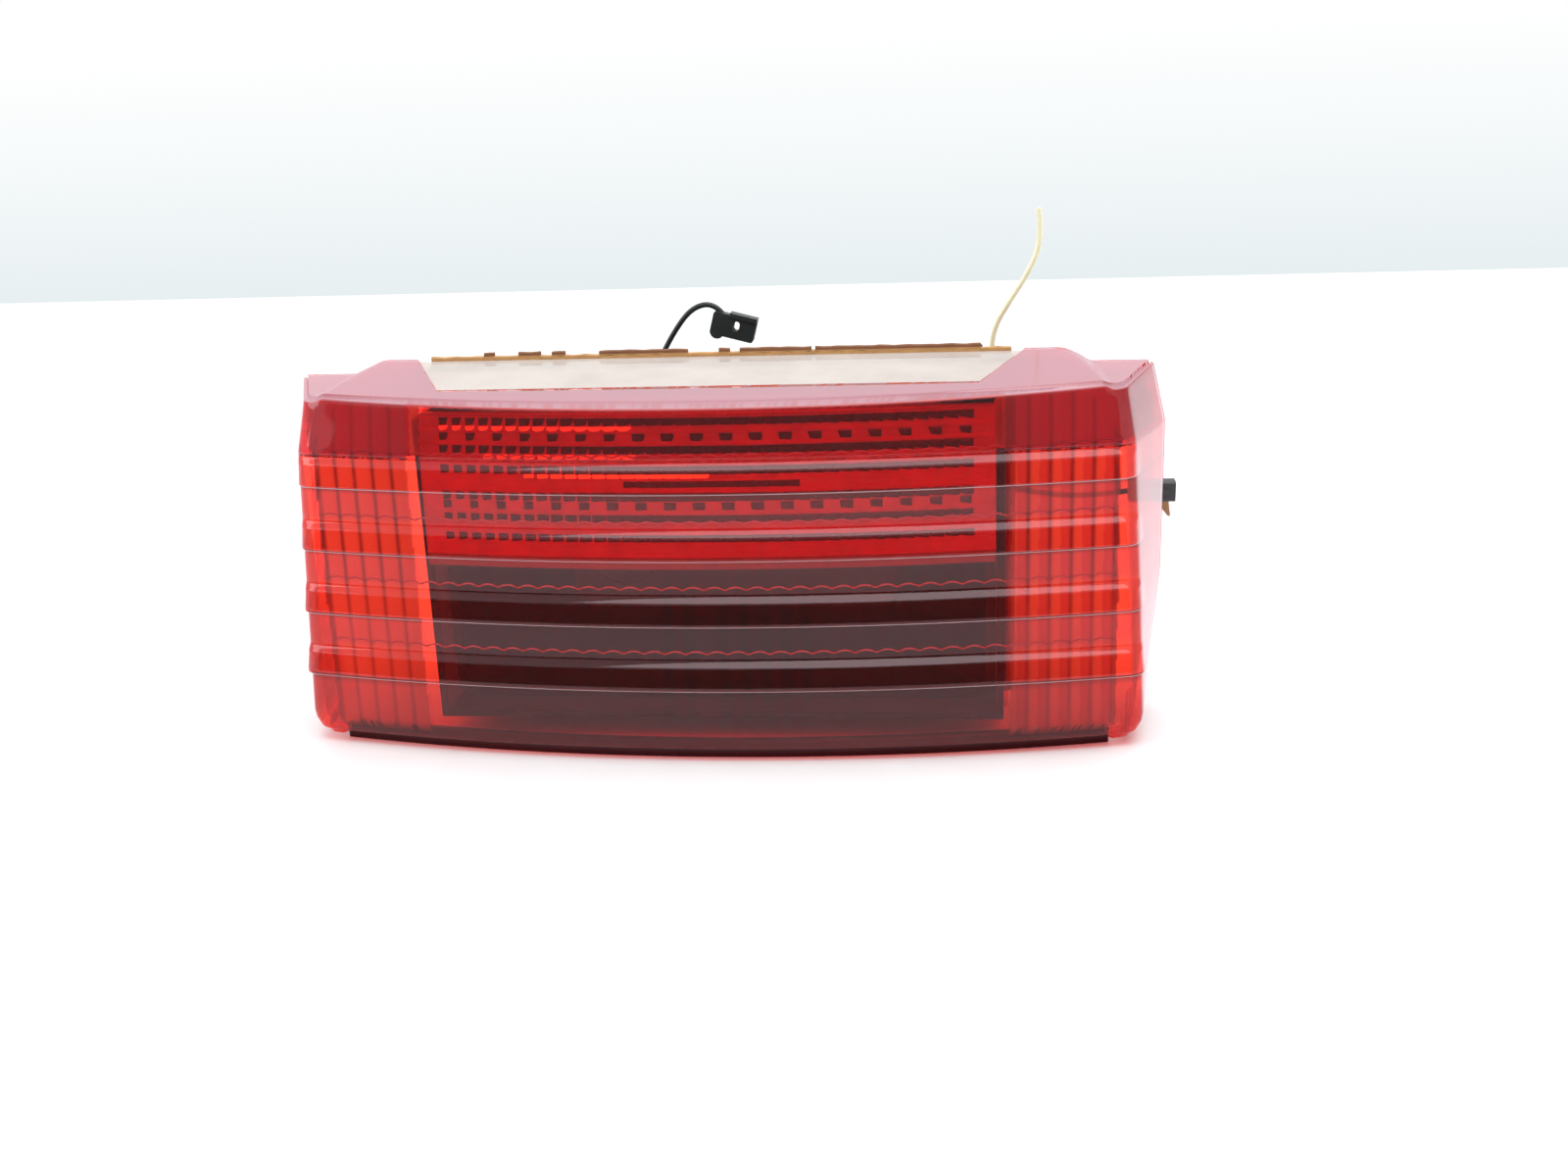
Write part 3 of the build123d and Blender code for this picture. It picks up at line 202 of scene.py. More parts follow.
@dataclass(frozen=True)
class LensMarks:
    """How strong the lens's painted highlights and painted reflection veils, its deeper dye with painted
    shade, its frosting and its painted shade are, as shares of one, and where its inner lines lie.
    """

    # painted reflection veils over the reflex panel, the band and the lower middle of the inside
    reflex_painted_reflection: float = 0.012
    band_painted_reflection: float = 0.024
    middle_painted_reflection: float = 0.028
    # deeper dye with painted shade, and painted shade, kept weaker in the middle
    middle_dye_and_shade: float = 0.25
    middle_shaded: float = 0.35
    edge_frosted: float = 0.8
    block_frosted: float = 0.7
    # the lid: deeper dye with painted shade, and frosting
    lid: tuple[float, ...] = (0.0, 0.8, 0.7, 0.0)
    # deeper dye with painted shade on plain rows, band and upper edge; painted shade lines
    plain_dye_and_shade: float = 0.2
    band_dye_and_shade: float = 0.9
    band_foot_shaded: float = 0.8
    edge_dye_and_shade: float = 0.8
    block_shaded: float = 0.8
    block_foot_shaded: float = 0.3
    band_share: float = 0.5
    # painted shade on half of each flute at the right end
    half_dark: float = 0.5
    line: float = 0.6 * MM
    bright_middle: float = 8 * MM
    bright_half: float = 22 * MM
    faint_columns: float = 0.3


def rear_rim() -> float:
    """Y of the lens's rear rim in the frame."""
    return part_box("lens_cover")[1][1]


# ---------------------------------------------------------------------------------------
# Node trees for finishes
# ---------------------------------------------------------------------------------------
class NodeTree:
    """A tree of nodes with a short way to add nodes and feed them."""

    def __init__(self, tree: bpy.types.NodeTree) -> None:
        self.tree = tree

    def node(self, kind: str, inputs: dict | None = None, **values: object) -> bpy.types.Node:
        """Adds a node, sets its properties and feeds its inputs.

        Args:
            kind: the node's Blender type name.
            inputs: a number, a colour or another node's output for each input.
            values: properties to set on the node.

        Returns:
            The new node.
        """
        made = self.tree.nodes.new(kind)
        for key, value in values.items():
            setattr(made, key, value)
        for key, value in (inputs or {}).items():
            into = made.inputs[key]
            if isinstance(value, bpy.types.NodeSocket):
                self.tree.links.new(value, into)
            elif into.type == "RGBA":
                into.default_value = (*value, 1.0)
            else:
                into.default_value = value
        return made


def greys(*stops: tuple[float, float]) -> list[tuple[float, Colour]]:
    """Stops of a colour ramp that holds plain values."""
    return [(place, (shade,) * 3) for place, shade in stops]


class Finish(NodeTree):
    """A material built from nodes, with the steps that the lamp's finishes share."""

    def __init__(self, name: str) -> None:
        self.material = bpy.data.materials.new(name)
        self.material.use_nodes = True
        super().__init__(self.material.node_tree)
        self.tree.nodes.clear()
        self.output = self.node("ShaderNodeOutputMaterial")

    def surface(self, shader: Socket) -> bpy.types.Material:
        """Uses a shader as the surface and returns the finished material."""
        self.tree.links.new(shader, self.output.inputs["Surface"])
        return self.material

    def noise(self, scale: float, detail: float = 4.0, roughness: float = 0.5) -> Socket:
        """Noise on object coordinates.

        Args:
            scale: repeats a metre.
            detail: how many finer layers it has.
            roughness: how strong the finer layers are.

        Returns:
            The noise, from nought to one.
        """
        place = self.node("ShaderNodeTexCoord").outputs["Object"]
        inputs = {"Scale": scale, "Detail": detail, "Roughness": roughness, "Vector": place}
        return self.node("ShaderNodeTexNoise", inputs).outputs["Fac"]

    def place(self, axis: str) -> Socket:
        """Where a point of the surface lies along an axis."""
        place = self.node("ShaderNodeTexCoord").outputs["Object"]
        return self.node("ShaderNodeSeparateXYZ", {"Vector": place}).outputs[axis]

    def facing(self, axis: str) -> Socket:
        """How far the surface looks along an axis, from minus one to one."""
        normal = self.node("ShaderNodeNewGeometry").outputs["Normal"]
        return self.node("ShaderNodeSeparateXYZ", {"Vector": normal}).outputs[axis]

    def sideways(self) -> Socket:
        """How far the surface looks to either end of the lamp."""
        return self.node("ShaderNodeMath", {0: self.facing("X")}, operation="ABSOLUTE").outputs["Value"]

    def mark(self, title: str) -> Socket:
        """Value that the mesh keeps at each point under this title."""
        return self.node("ShaderNodeAttribute", attribute_name=title).outputs["Fac"]

    def reckon(self, operation: str, one: Socket, other: Socket | float) -> Socket:
        """Puts two values together and keeps the result between nought and one.

        Args:
            operation: Blender's name of the sum.
            one: the first value.
            other: the second value, or a number.

        Returns:
            The result.
        """
        inputs = {0: one, 1: other}
        return self.node("ShaderNodeMath", inputs, operation=operation, use_clamp=True).outputs["Value"]

    def product_of(self, one: Socket, other: Socket | float) -> Socket:
        """Two values multiplied."""
        return self.reckon("MULTIPLY", one, other)

    def sum_of(self, one: Socket, other: Socket | float) -> Socket:
        """Two values added."""
        return self.reckon("ADD", one, other)

    def ramp(self, source: Socket, stops: list[tuple[float, Colour]]) -> Socket:
        """A colour ramp over a value.

        Args:
            source: the value.
            stops: pairs of a place on the ramp and its colour.

        Returns:
            The colour.
        """
        made = self.node("ShaderNodeValToRGB", {"Fac": source})
        while len(made.color_ramp.elements) < len(stops):
            made.color_ramp.elements.new(0.5)
        for element, (place, colour) in zip(made.color_ramp.elements, stops):
            element.position = place
            element.color = (*colour, 1.0)
        return made.outputs["Color"]

    def bump(self, source: Socket, height: float, strength: float = 1.0) -> Socket:
        """A bump from a value, with its height in metres."""
        inputs = {"Distance": height, "Strength": strength, "Height": source}
        return self.node("ShaderNodeBump", inputs).outputs["Normal"]

    def mixed(self, share: Socket, one: Socket, other: Socket) -> Socket:
        """A shader with a share of another one."""
        return self.node("ShaderNodeMixShader", {"Fac": share, 1: one, 2: other}).outputs["Shader"]

    def blended(self, share: Socket | float, one: Socket, other: Socket | Colour, way: str = "MIX") -> Socket:
        """A colour with a share of another one.

        Args:
            share: how much of the other one there is.
            one: the first colour.
            other: the other colour.
            way: Blender's name of the way they are put together.

        Returns:
            The colour.
        """
        inputs = {"Factor": share, "A": one, "B": other}
        return self.node("ShaderNodeMix", inputs, data_type="RGBA", blend_type=way).outputs["Result"]

    def from_behind(self, front: float, behind: float) -> Socket:
        """One number on faces seen from outside, another on those seen from inside.

        Args:
            front: the number outside.
            behind: the number inside.

        Returns:
            The number.
        """
        seen = self.node("ShaderNodeNewGeometry").outputs["Backfacing"]
        inputs = {"Value": seen, "To Min": front, "To Max": behind}
        return self.node("ShaderNodeMapRange", inputs).outputs["Result"]

    def coated(self, through: Socket, gloss: float, haze: Socket, haze_colour: Colour | Socket,
               reflected: Colour = WHITE) -> Socket:
        """Gives a see-through shader a polished, slightly wavy surface and some scattering haze.

        Args:
            through: the see-through shader.
            gloss: roughness of the reflection.
            haze: the share of light that dust and scratches scatter; on the lens it also holds painted sheen,
                painted highlights and painted reflection veils.
            haze_colour: colour of that light.
            reflected: colour of what the surface reflects.

        Returns:
            The coated shader.
        """
        waves = self.bump(self.noise(WAVE_SCALE, 2.0), WAVE_HEIGHT, 0.2)
        mirror = self.node("ShaderNodeBsdfGlossy", {"Roughness": gloss, "Color": reflected, "Normal": waves})
        index = self.from_behind(ACRYLIC_INDEX, 1 / ACRYLIC_INDEX)
        fresnel = self.node("ShaderNodeFresnel", {"IOR": index}).outputs["Fac"]
        # diffuse share: real dust, and on the lens also painted sheen and highlights
        dust_and_sheen = self.node("ShaderNodeBsdfDiffuse", {"Color": haze_colour}).outputs["BSDF"]
        share = self.product_of(fresnel, self.from_behind(1.0, INNER_REFLECTION))
        return self.mixed(share, self.mixed(haze, through, dust_and_sheen), mirror.outputs["BSDF"])


@dataclass(frozen=True)
class Banded:
    """Soft or moulded material whose colour changes at set places along an axis.

    The glow is painted light, given off by parts that are no lamp: the light that prisms throw back, or that
    comes through the cover onto the housing; where the cheeks flag is set, only faces that look to the lamp's
    ends have it.
    """

    name: str
    bands: tuple[tuple[float, Colour], ...]
    roughness: float
    axis: str = "Z"
    painted_glow: float = 0.0
    painted_glow_on_cheeks: bool = False
    mottling: float = 0.55
    mottle_scale: float = 160.0
    grain_scale: float = 1500.0
    grain: float = 0.1 * MM

    def make(self) -> bpy.types.Material:
        """Builds the material.

        Returns:
            The material.
        """
        finish = Finish(self.name)
        low, high = self.bands[0][0], self.bands[-1][0] + 1 * MM
        inputs = {"Value": finish.place(self.axis), "From Min": low, "From Max": high}
        span = finish.node("ShaderNodeMapRange", inputs)
        stops = [((start - low) / (high - low), colour) for start, colour in self.bands]
        shades = finish.ramp(span.outputs["Result"], stops)
        spotted = finish.blended(self.mottling, shades, finish.noise(self.mottle_scale, 5.0, 0.6), "MULTIPLY")
        strength = finish.product_of(finish.sideways(), self.painted_glow) if self.painted_glow_on_cheeks else self.painted_glow
        grain = finish.bump(finish.noise(self.grain_scale), self.grain)
        inputs = {"Base Color": spotted, "Emission Color": spotted, "Emission Strength": strength,
                  "Roughness": self.roughness, "Normal": grain}
        return finish.surface(finish.node("ShaderNodeBsdfPrincipled", inputs).outputs["BSDF"])


@dataclass(frozen=True)
class ClearPlastic:
    """Clear moulding or glass: light passes, and dust and fine scratches scatter a share of it."""

    name: str
    tint: Colour
    haze: float
    haze_colour: Colour
    gloss: float
    speck_scale: float = 60.0

    def make(self) -> bpy.types.Material:
        """Builds the material.

        Returns:
            The material.
        """
        finish = Finish(self.name)
        through = finish.node("ShaderNodeBsdfTransparent", {"Color": self.tint}).outputs["BSDF"]
        stops = greys((0.3, self.haze * 0.9), (0.7, min(self.haze * 1.1, 1.0)))
        specks = finish.ramp(finish.noise(self.speck_scale, 3.0), stops)
        return finish.surface(finish.coated(through, self.gloss, specks, self.haze_colour))


@dataclass(frozen=True)
class DyedLens:
    """The red cover: deeper where thick or seen aslant, with painted shade, a painted sheen on top and at its
    ends, painted highlight lines on its edges and a few dust specks.
    """

    name: str
    plain: tuple[Colour, Colour] = ((0.985, 0.23, 0.15), (0.95, 0.14, 0.10))
    deep: tuple[Colour, Colour] = ((0.70, 0.03, 0.085), (0.58, 0.02, 0.06))
    shade: Colour = (0.16, 0.004, 0.03)
    # colours of the scattered light: dust specks, and painted sheen on upright faces and on tops
    upright_dust_and_sheen: Colour = (0.74, 0.62, 0.65)
    top_dust_and_sheen: Colour = (0.61, 0.43, 0.495)
    sheen: Colour = (1.0, 0.84, 0.88)
    gloss: float = 0.05
    # shares of painted sheen on tops and at the ends, and of painted highlight lines
    top_sheen: float = 0.55
    end_sheen: float = 0.72
    highlight_haze: float = 0.8
    plain_top: float = 0.1
    speck_scale: float = 700.0

    def passing(self, finish: Finish, slant: Socket) -> Socket:
        """The shader that lets light through.

        Args:
            finish: the material being built.
            slant: how far the surface is seen aslant.

        Returns:
            A clear or frosted shader in the lens's colour.
        """
        plain, deep = (finish.ramp(slant, [(0.0, level), (0.9, aslant)])
                       for level, aslant in (self.plain, self.deep))
        # deeper red where thick, with painted shade, then painted shade lines and hollows
        dye = finish.blended(finish.mark("dye_and_shade"), plain, deep)
        colour = finish.blended(finish.mark("shaded"), dye, self.shade)
        clear, frosted = (finish.node(kind, {"Color": colour}).outputs["BSDF"]
                          for kind in ("ShaderNodeBsdfTransparent", "ShaderNodeBsdfTranslucent"))
        return finish.mixed(finish.mark("frosted"), clear, frosted)

    def haze(self, finish: Finish, slant: Socket) -> Socket:
        """The share of light scattered as painted sheen on top and at the ends, as painted highlight lines
        and reflection veils, and by dust specks.

        Args:
            finish: the material being built.
            slant: how far the surface is seen aslant.

        Returns:
            The share.
        """
        # painted sheen on faces that look up and to the ends, stronger aslant; then painted highlight lines
        # and veils; then real dust specks
        upward = finish.ramp(finish.facing("Z"), greys((0.45, 0.0), (0.8, self.top_sheen)))
        top = finish.product_of(upward, finish.sum_of(finish.mark("dye_and_shade"), self.plain_top))
        ends = finish.ramp(finish.sideways(), greys((0.8, 0.0), (0.97, self.end_sheen)))
        aslant = finish.ramp(slant, greys((0.08, 0.3), (0.36, 1.0)))
        painted_sheen = finish.product_of(finish.sum_of(top, ends), aslant)
        wear_and_highlight = finish.product_of(finish.mark("wear_and_highlight"), self.highlight_haze)
        specks = finish.ramp(finish.noise(self.speck_scale, 6.0, 0.7), greys((0.35, 0.003), (0.75, 0.012)))
        return finish.sum_of(finish.sum_of(painted_sheen, wear_and_highlight), specks)

    def make(self) -> bpy.types.Material:
        """Builds the material.

        Returns:
            The material.
        """
        finish = Finish(self.name)
        slant = finish.node("ShaderNodeLayerWeight", {"Blend": 0.3}).outputs["Facing"]
        dust_and_sheen = finish.ramp(finish.facing("Z"), [(0.45, self.upright_dust_and_sheen), (0.8, self.top_dust_and_sheen)])
        passing, haze = self.passing(finish, slant), self.haze(finish, slant)
        return finish.surface(finish.coated(passing, self.gloss, haze, dust_and_sheen, self.sheen))


@dataclass(frozen=True)
class Moulded:
    """Opaque moulding, rubber or metal with mottled colour and a fine grain."""

    name: str
    colour: Colour
    roughness: float
    grain: float = 0.04 * MM
    metallic: float = 0.0
    spread: float = 0.25
    scale: float = 700.0

    def make(self) -> bpy.types.Material:
        """Builds the material.

        Returns:
            The material.
        """
        finish = Finish(self.name)
        dark = tuple(channel * (1 - self.spread) for channel in self.colour)
        light = tuple(min(1.0, channel * (1 + self.spread)) for channel in self.colour)
        shades = finish.ramp(finish.noise(self.scale * 0.08, 5.0, 0.6), [(0.3, dark), (0.7, light)])
        fine = finish.noise(self.scale, 3.0)
        wear_and_highlight = finish.ramp(fine, greys((0.3, self.roughness * 0.85), (0.7, min(1.0, self.roughness * 1.15))))
        inputs = {"Base Color": shades, "Metallic": self.metallic, "Roughness": wear_and_highlight,
                  "Normal": finish.bump(fine, self.grain)}
        return finish.surface(finish.node("ShaderNodeBsdfPrincipled", inputs).outputs["BSDF"])


class Cell(Enum):
    """Kinds of prism cell on the reflex panel: a painted shaded cell, where a prism reflects the dark inside,
    and a painted lit cell, where it reflects the bright room.
    """

    DARK = "prism_dark"
    BRIGHT = "prism_bright"


class Paints:
    """Every finish of the lamp, made once and kept by name."""

    def __init__(self) -> None:
        finishes = self.red_parts() + self.black_parts() + self.metals()
        self.made = {finish.name: finish.make() for finish in finishes}

    def __getitem__(self, name: str) -> bpy.types.Material:
        """The material of a finish or slot."""
        return self.made[name]

    def red_parts(self) -> list[DyedLens | ClearPlastic | Banded | Moulded]:
        """Finishes of the cover and of what lies right behind it.

        Returns:
            Their finishes.
        """
        seal, panel_foot, ridge = (0.74, 0.40, 0.15), (0.3, 0.03, 0.04), (0.5, 0.12, 0.24)
        seal_bands = ((110 * MM, seal), (113.8 * MM, seal), (114.0 * MM, (0.3, 0.12, 0.05)))
        panel_bands = ((58 * MM, panel_foot), (61.4 * MM, panel_foot), (61.9 * MM, (0.66, 0.08, 0.3)))
        prism_bands = ((60 * MM, (1.0, 0.7, 0.5)), (100 * MM, (1.0, 0.8, 0.6)))
        return [
            DyedLens("lens_red"),
            ClearPlastic("window_clear", (0.94, 0.91, 0.87), 0.7, (0.66, 0.595, 0.55), 0.05),
            Banded("seal_brown", seal_bands, 0.75),
            # the panel's glow is painted light that its prisms throw back
            Banded("reflex_red", panel_bands, 0.2, painted_glow=0.27),
            # dark cells: painted shade; bright cells: painted light with a glow
            Moulded(Cell.DARK.value, (0.06, 0.002, 0.006), 0.12),
            Banded(Cell.BRIGHT.value, prism_bands, 0.3, painted_glow=1.3),
            # near-black rim: painted shade under the cover
            Moulded("rim_crimson", (0.03, 0.004, 0.008), 0.4),
            # the scallops' glow is painted light
            Banded("step_crimson", ((20 * MM, ridge), (100 * MM, ridge)), 0.4, painted_glow=0.35),
        ]

    def black_parts(self) -> list[Banded | Moulded]:
        """Finishes of the housing, the carrier and the leads.

        Returns:
            Their finishes.
        """
        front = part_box("lamp_housing")[0][1]
        flange = rear_rim() + 2 * MM
        black = (0.01, 0.008, 0.008)
        # red-tinted cheeks: painted light that comes through the red cover
        cheek_front, cheek_rear = (0.07, 0.014, 0.021), (0.06, 0.014, 0.02)
        bands = ((front, black), (front + 0.5 * MM, black), (front + 0.8 * MM, cheek_front),
                 (flange, cheek_rear), (flange + 0.5 * MM, (0.02, 0.02, 0.022)))
        return [
            # the cheeks' glow is painted light from the cover
            Banded("housing_black", bands, 0.45, "Y", 2.8, True),
            Moulded("carrier_black", (0.02, 0.02, 0.022), 0.5),
            Moulded("seal_black", (0.015, 0.015, 0.015), 0.85, 0.2 * MM),
            Moulded("insulator_brown", (0.16, 0.075, 0.035), 0.55),
            Moulded("lead_black", (0.018, 0.02, 0.02), 0.42),
            Moulded("lead_cream", (0.93, 0.9, 0.62), 0.45, spread=0.06),
            Moulded("lead_dark", (0.03, 0.03, 0.032), 0.5),
            Moulded("receptacle_black", (0.03, 0.034, 0.034), 0.42),
            Moulded("plug_grey", (0.045, 0.05, 0.055), 0.5),
            Moulded("lock_tan", (0.42, 0.22, 0.09), 0.5),
        ]

    def metals(self) -> list[Moulded | ClearPlastic]:
        """Finishes of the metal pieces and of the bulbs' glass.

        Returns:
            Their finishes.
        """
        return [
            # near-black reflector: painted shade of the closed inside
            Moulded("reflector_metal", (0.010, 0.008, 0.008), 0.35, metallic=0.2),
            Moulded("steel_zinc", (0.55, 0.56, 0.55), 0.35, metallic=1.0),
            Moulded("brass", (0.62, 0.42, 0.16), 0.32, metallic=1.0),
            Moulded("spring_steel", (0.45, 0.45, 0.46), 0.3, metallic=1.0),
            Moulded("filament", (0.25, 0.25, 0.26), 0.4, metallic=1.0),
            ClearPlastic("bulb_glass", (0.97, 0.975, 0.98), 0.004, (0.9, 0.9, 0.9), 0.01),
        ]


def dress_nodes(frame: dict, paints: Paints) -> None:
    """Gives every node of the solid model the finish of its slot.

    Args:
        frame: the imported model.
        paints: the lamp's finishes.
    """
    for part in frame["record"]["subparts"]:
        node = frame["nodes"][part["node"]]
        node.data.materials.clear()
        node.data.materials.append(paints[part["material_slot"]])
        log.info("dressed %s", part["node"])


# ---------------------------------------------------------------------------------------
# Meshes built from rows of points
# ---------------------------------------------------------------------------------------
class MeshMaker:
    """Collects grids of points and joins them into one closed mesh."""

    def __init__(self) -> None:
        self.points: list[np.ndarray] = []
        self.marks: list[np.ndarray] = []
        self.faces: list[tuple[int, ...]] = []
        self.count = 0

    def add_grid(self, grid: np.ndarray, keep: np.ndarray | None = None,
                 marks: np.ndarray | None = None) -> None:
        """Adds a grid of quads.

        Args:
            grid: points as rows, columns and three coordinates.
            keep: which cells to make, all of them where it is left out.
            marks: each point's painted highlight, deeper dye with painted shade, frosting and painted shade,
                on the same grid.
        """
        rows, columns, _ = grid.shape
        first = self.count
        self.points.append(grid.reshape(-1, 3))
        self.marks.append(np.zeros((rows * columns, 4)) if marks is None else marks.reshape(-1, 4))
        self.count += rows * columns
        for row in range(rows - 1):
            for column in range(columns - 1):
                if keep is None or keep[row, column]:
                    corner = first + row * columns + column
                    self.faces.append((corner, corner + 1, corner + columns + 1, corner + columns))

    def shift(self, back: float) -> None:
        """Moves everything collected so far along Y."""
        for points in self.points:
            points[:, 1] += back

    def build(self, name: str, smooth: bool = True) -> bpy.types.Object:
        """Welds the grids and turns every face outward.

        Args:
            name: the piece's name.
            smooth: whether its faces are shaded smoothly.

        Returns:
            The piece, its place in its mesh.
        """
        mesh = bpy.data.meshes.new(name)
        mesh.from_pydata(np.concatenate(self.points).tolist(), [], self.faces)
        for number, title in enumerate(("wear_and_highlight", "dye_and_shade", "frosted", "shaded")):
            layer = mesh.attributes.new(title, "FLOAT", "POINT")
            layer.data.foreach_set("value", np.concatenate(self.marks)[:, number].astype(np.float32))
        welded = bmesh.new()
        welded.from_mesh(mesh)
        bmesh.ops.remove_doubles(welded, verts=welded.verts, dist=HAIR)
        bmesh.ops.dissolve_degenerate(welded, edges=welded.edges, dist=HAIR / 2)
        bmesh.ops.recalc_face_normals(welded, faces=welded.faces)
        for face in welded.faces:
            face.smooth = smooth
        welded.to_mesh(mesh)
        welded.free()
        made = bpy.data.objects.new(name, mesh)
        bpy.context.scene.collection.objects.link(made)
        return made


# ---------------------------------------------------------------------------------------
# Lens
# ---------------------------------------------------------------------------------------
@dataclass(frozen=True)
class Row:
    """One level of the lens wall: where it lies and how far it stands in or out."""

    height: float
    inset: float = 0.0
    out: float = 0.0
    # painted highlight line, deeper dye with painted shade, and painted shade of this level
    wear_and_highlight: float = 0.0
    dye_and_shade: float = 0.0
    shaded: float = 0.0


class LensShape:
    """The lens's surfaces as formulae, Y counted from its front corners, which lie at `back` in the frame."""

    def __init__(self, size: LensSize) -> None:
        self.size = size
        self.back = rear_rim() - size.depth

    def lean(self, height: float) -> float:
        """How far the face stands back at a height.

        Args:
            height: height above the table.

        Returns:
            Y of the face's corners.
        """
        size = self.size
        if height <= size.band_foot:
            return size.face_lean * max(height - size.skirt, 0) / (size.band_foot - size.skirt)
        return size.face_lean + size.band_lean * (height - size.band_foot) / size.band

    def front_half(self, height: float) -> float:
        """Half width of the face at a height.

        Args:
            height: height above the table.

        Returns:
            Half the width between the face's corners.
        """
        size = self.size
        if height <= size.band_foot:
            share = (height - size.skirt) / (size.band_foot - size.skirt)
            return size.foot_half + (size.face_half - size.foot_half) * share
        return size.face_half + (size.top_half - size.face_half) * (height - size.band_foot) / size.band

    def rear_half(self, height: float) -> float:
        """Half width of the rear rim at a height.

        Args:
            height: height above the table.

        Returns:
            Half the width between the rear corners.
        """
        size = self.size
        if height <= size.flare:
            share = (height - size.skirt) / (size.flare - size.skirt)
            return size.rear_foot + (size.rear_half - size.rear_foot) * share
        return size.rear_half + (size.rear_top - size.rear_half) * max(height - size.band_foot, 0) / size.band

    def end_cut(self, height: float) -> float:
        """How far the ends are cut back near the foot."""
        size = self.size
        return size.end_cut * max(size.skirt + size.end_cut_height - height, 0) / size.end_cut_height

    def top(self, x: np.ndarray, y: np.ndarray) -> np.ndarray:
        """Height of the upper side: shelves at the ends, a raised wedge between them.

        Args:
            x: places across.
            y: places from front to rear.

        Returns:
            The height at each place.
        """
        size = self.size
        front = self.lean(size.face_top) - size.bulge
        share = (y - front) / (size.depth - front)
        shelf = size.face_top + size.shelf_rise * share
        wedge = size.face_top + size.wedge_rise * share
        half = size.wedge_front + (size.wedge_rear - size.wedge_front) * y / size.depth
        side = size.face_top + (half - np.abs(x)) / math.tan(size.wedge_angle)
        lean_in = size.crest_height * (math.tan(size.crest_angle) - math.tan(size.wedge_angle))
        crest = size.face_top + (half + lean_in - np.abs(x)) / math.tan(size.crest_angle)
        ridge = -self.soft_max(self.soft_max(-wedge, -side), -crest)
        return self.soft_max(shelf, ridge)

    def soft_max(self, one: np.ndarray, other: np.ndarray) -> np.ndarray:
        """The larger of two heights, rounded over where they meet."""
        gap = np.maximum(self.size.crease - np.abs(one - other), 0)
        return np.maximum(one, other) + gap * gap / (4 * self.size.crease)

    def window_edge(self, y: np.ndarray | float) -> np.ndarray | float:
        """Half width of the window opening at a depth.

        Args:
            y: place from front to rear.

        Returns:
            Half the width of the opening there.
        """
        size = self.size
        slope = (size.window_rear - size.window_front) / (size.depth - size.window_y)
        return size.window_front + slope * (y - size.window_y)

    def face_y(self, x: np.ndarray, height: float, inset: float) -> np.ndarray:
        """Y of the bowed face.

        Args:
            x: places across.
            height: height above the table.
            inset: how far inside the outer skin.

        Returns:
            Y at each place.
        """
        size = self.size
        half = self.front_half(height) - inset - self.end_cut(height)
        radius = (half ** 2 + size.bulge ** 2) / (2 * size.bulge)
        return self.lean(height) + inset + radius - size.bulge - np.sqrt(radius ** 2 - x ** 2)

    def window_share(self, inset: float) -> float:
        """Share of the face's half width at which the window's side edges start.

        Args:
            inset: how far inside the outer skin.

        Returns:
            The share.
        """
        size = self.size
        x = size.window_front
        for _ in range(6):
            x = self.window_edge(float(self.face_y(np.array(x), size.face_top, inset)))
        return x / (self.front_half(size.face_top) - inset - size.corner_run)

    def plan(self, height: float, inset: float) -> np.ndarray:
        """Plan outline at a height, from the left end of the rear rim round the face to the right end.

        Args:
            height: height above the table.
            inset: how far inside the outer skin.

        Returns:
            X and Y of the outline's points.
        """
        size = self.size
        half = self.front_half(height) - inset - self.end_cut(height)
        rear = self.rear_half(height) - inset - self.end_cut(height)
        share = self.window_share(inset)
        shares = np.concatenate([np.linspace(0, share, size.window_columns + 1),
                                 np.linspace(share, 1, size.outer_columns + 1)[1:]])
        x = shares * (half - size.corner_run)
        face = np.stack([x, self.face_y(x, height, inset)], axis=1)
        corner = np.array([half, self.lean(height) + inset])
        along = np.array([rear - half, size.depth - corner[1]])
        leave = corner + along / np.linalg.norm(along) * size.corner_run
        turn = np.linspace(0, 1, size.corner_columns + 1)[1:, None]
        bend = (1 - turn) ** 2 * face[-1] + 2 * turn * (1 - turn) * corner + turn ** 2 * leave
        wall = np.linspace(0, 1, size.end_columns + 1)[1:, None]
        end = leave + (np.array([rear, size.depth]) - leave) * wall
        right = np.concatenate([face, bend, end])
        left = right[:0:-1] * np.array([-1, 1])
        return np.concatenate([left, right])

    def row(self, row: Row) -> np.ndarray:
        """Points of one level of the wall.

        Args:
            row: the level.

        Returns:
            X, Y and Z of its points.
        """
        size = self.size
        flat = self.plan(row.height, row.inset)
        if row.out:
            step = np.gradient(flat, axis=0)
            normal = np.stack([step[:, 1], -step[:, 0]], axis=1)
            normal /= np.linalg.norm(normal, axis=1)[:, None]
            fade = size.rib_fade_to - size.rib_fade_from
            behind = np.clip((flat[:, 1] - size.rib_fade_from) / fade, 0, 1)
            turned = np.clip(np.abs(normal[:, 0]), 0, 1)
            reach = 1 - (1 - size.rib_end_out / size.rib_out) * turned
            flat = flat + normal * (row.out * reach * (1 - behind) ** size.rib_fade_power)[:, None]
        height = np.full(len(flat), row.height)
        if row.height > size.band_foot:
            top = self.top(flat[:, 0], flat[:, 1]) - row.inset
            share = (row.height - size.band_foot) / (size.face_top - size.band_foot)
            height = size.band_foot + share * (top - size.band_foot)
        return np.concatenate([flat, height[:, None]], axis=1)

